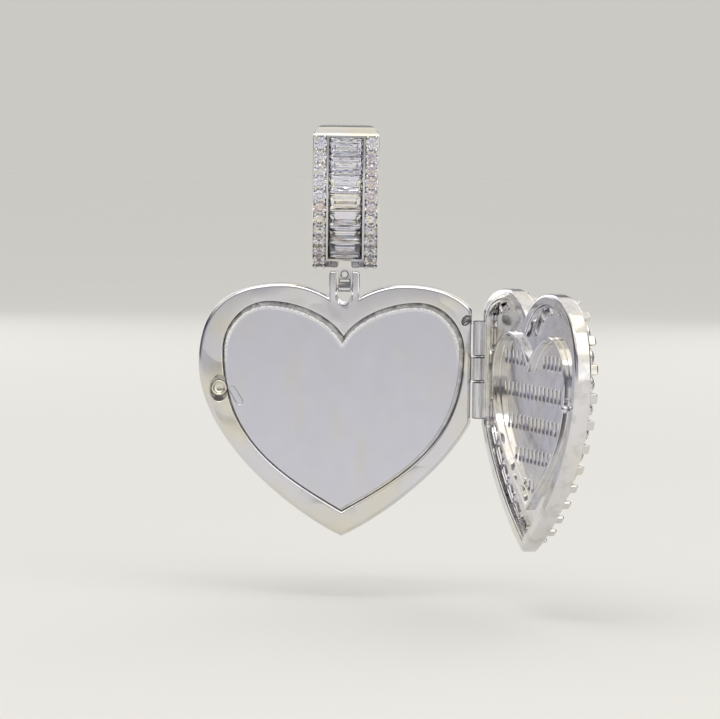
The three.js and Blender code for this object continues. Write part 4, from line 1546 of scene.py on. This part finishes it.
def floor():
    """A plain pale floor, low enough to clear the heart when it swings."""
    half, cells = 6.0, 8  # the half width is in metres
    mesh = bpy.data.meshes.new("floor")
    edit = bmesh.new()
    bmesh.ops.create_grid(edit, x_segments=cells, y_segments=cells, size=half)
    edit.to_mesh(mesh)
    edit.free()
    made = add_object("floor", mesh)
    made.location.z = CAD_LOW.z - FLOOR_DROP * MM
    n = Nodes("pale_floor")
    colour = n.mix(n.noise(6, 2), (0.74, 0.74, 0.74, 1), (0.76, 0.76, 0.76, 1))
    n.shader.inputs["Roughness"].default_value = 0.8
    n.finish(Base_Color=colour)
    mesh.materials.append(n.material)


def softbox(name, azimuth, elevation, distance, size, watts, colour=(1, 1, 1)):
    """An area light that faces the locket from a direction seen from it."""
    light = bpy.data.lights.new(name, "AREA")
    light.shape = "RECTANGLE"
    light.size, light.size_y = size
    light.energy = watts
    light.color = colour
    made = add_object(name, light)
    a, e = math.radians(azimuth), math.radians(elevation)
    way = Vector((math.sin(a) * math.cos(e), -math.cos(a) * math.cos(e), math.sin(e)))
    centre = (CAD_LOW + CAD_HIGH) / 2
    made.location = centre + way * distance
    made.rotation_mode = "QUATERNION"
    made.rotation_quaternion = way.to_track_quat("Z", "Y")
    made.visible_camera = False


def studio():
    """A grey room with bright panels for the metal to mirror, and a pale view for the camera."""
    world = bpy.data.worlds.new("studio")
    bpy.context.scene.world = world
    world.use_nodes = True
    nodes, links = world.node_tree.nodes, world.node_tree.links
    place = nodes.new("ShaderNodeTexCoord")
    split = nodes.new("ShaderNodeSeparateXYZ")
    links.new(place.outputs["Generated"], split.inputs[0])

    def tones(value, low, high, stops):
        """Colours along a value, as (value, red, green, blue) stops."""
        span = nodes.new("ShaderNodeMapRange")
        span.inputs["From Min"].default_value = low
        span.inputs["From Max"].default_value = high
        links.new(value, span.inputs["Value"])
        ramp = nodes.new("ShaderNodeValToRGB")
        links.new(span.outputs[0], ramp.inputs[0])
        elements = ramp.color_ramp.elements
        while len(elements) < len(stops):
            elements.new(0.5)
        for element, (position, *colour) in zip(elements, stops):
            element.position = (position - low) / (high - low)
            element.color = (*colour, 1)
        return ramp.outputs["Color"]

    # by height: floor level, a dark band, and a bright ceiling
    by_height = tones(split.outputs["Z"], -1, 1, [
        (-1, 0.40, 0.40, 0.40), (-0.1, 0.48, 0.48, 0.50), (0.18, 0.50, 0.50, 0.53),
        (0.24, 0.17, 0.17, 0.18), (0.34, 0.19, 0.19, 0.20), (0.44, 0.90, 0.875, 0.81),
        (1, 0.98, 0.955, 0.89),
    ])
    # by side: dark flanks at the left and the right
    across = nodes.new("ShaderNodeMath")
    across.operation = "ABSOLUTE"
    links.new(split.outputs["X"], across.inputs[0])
    by_side = tones(across.outputs[0], 0, 1, [
        (0, 1, 1, 1), (0.74, 1, 1, 1), (0.84, 0.32, 0.32, 0.34), (1, 0.30, 0.30, 0.32),
    ])
    room = nodes.new("ShaderNodeMix")
    room.data_type = "RGBA"
    room.blend_type = "MULTIPLY"
    room.inputs[0].default_value = 1
    links.new(by_height, room.inputs[6])
    links.new(by_side, room.inputs[7])
    ray = nodes.new("ShaderNodeLightPath")
    mix = nodes.new("ShaderNodeMix")
    mix.data_type = "RGBA"
    links.new(ray.outputs["Is Camera Ray"], mix.inputs[0])
    links.new(room.outputs[2], mix.inputs[6])
    mix.inputs[7].default_value = (0.597, 0.584, 0.547, 1)
    background = nodes["Background"]
    links.new(mix.outputs[2], background.inputs["Color"])
    softbox("key_right", 38, 24, 0.9, (0.6, 0.9), 1.35, (1, 0.975, 0.91))
    softbox("front_top", -8, 54, 0.8, (0.6, 0.1), 0.9, (1, 0.99, 0.96))
    softbox("top", 10, 80, 0.8, (0.7, 0.5), 0.7, (1, 0.975, 0.91))
    softbox("rear_left", -155, 15, 0.9, (0.4, 0.6), 0.8, (0.97, 0.98, 1))
    softbox("rear_right", 155, 15, 0.9, (0.4, 0.6), 0.8, (1, 0.99, 0.96))


def camera():
    """A long lens, a little above the heart's middle and slightly rolled."""
    lens, sensor = 200, 36
    elevation, roll, distance = math.radians(3.2), math.radians(0.8), 593 * MM
    aim = Vector((2.46, -1.5, -33.1)) * MM
    data = bpy.data.cameras.new("camera")
    data.lens, data.sensor_width = lens, sensor
    data.clip_start, data.clip_end = 0.05, 50
    made = add_object("camera", data)
    back = Vector((0, -math.cos(elevation), math.sin(elevation)))
    turn = back.to_track_quat("Z", "Y").to_matrix().to_4x4()
    turn = turn @ Matrix.Rotation(roll, 4, "Z")
    made.matrix_world = Matrix.Translation(aim + back * distance) @ turn
    bpy.context.scene.camera = made


floor()
studio()
camera()
bpy.context.scene.view_settings.view_transform = "Standard"
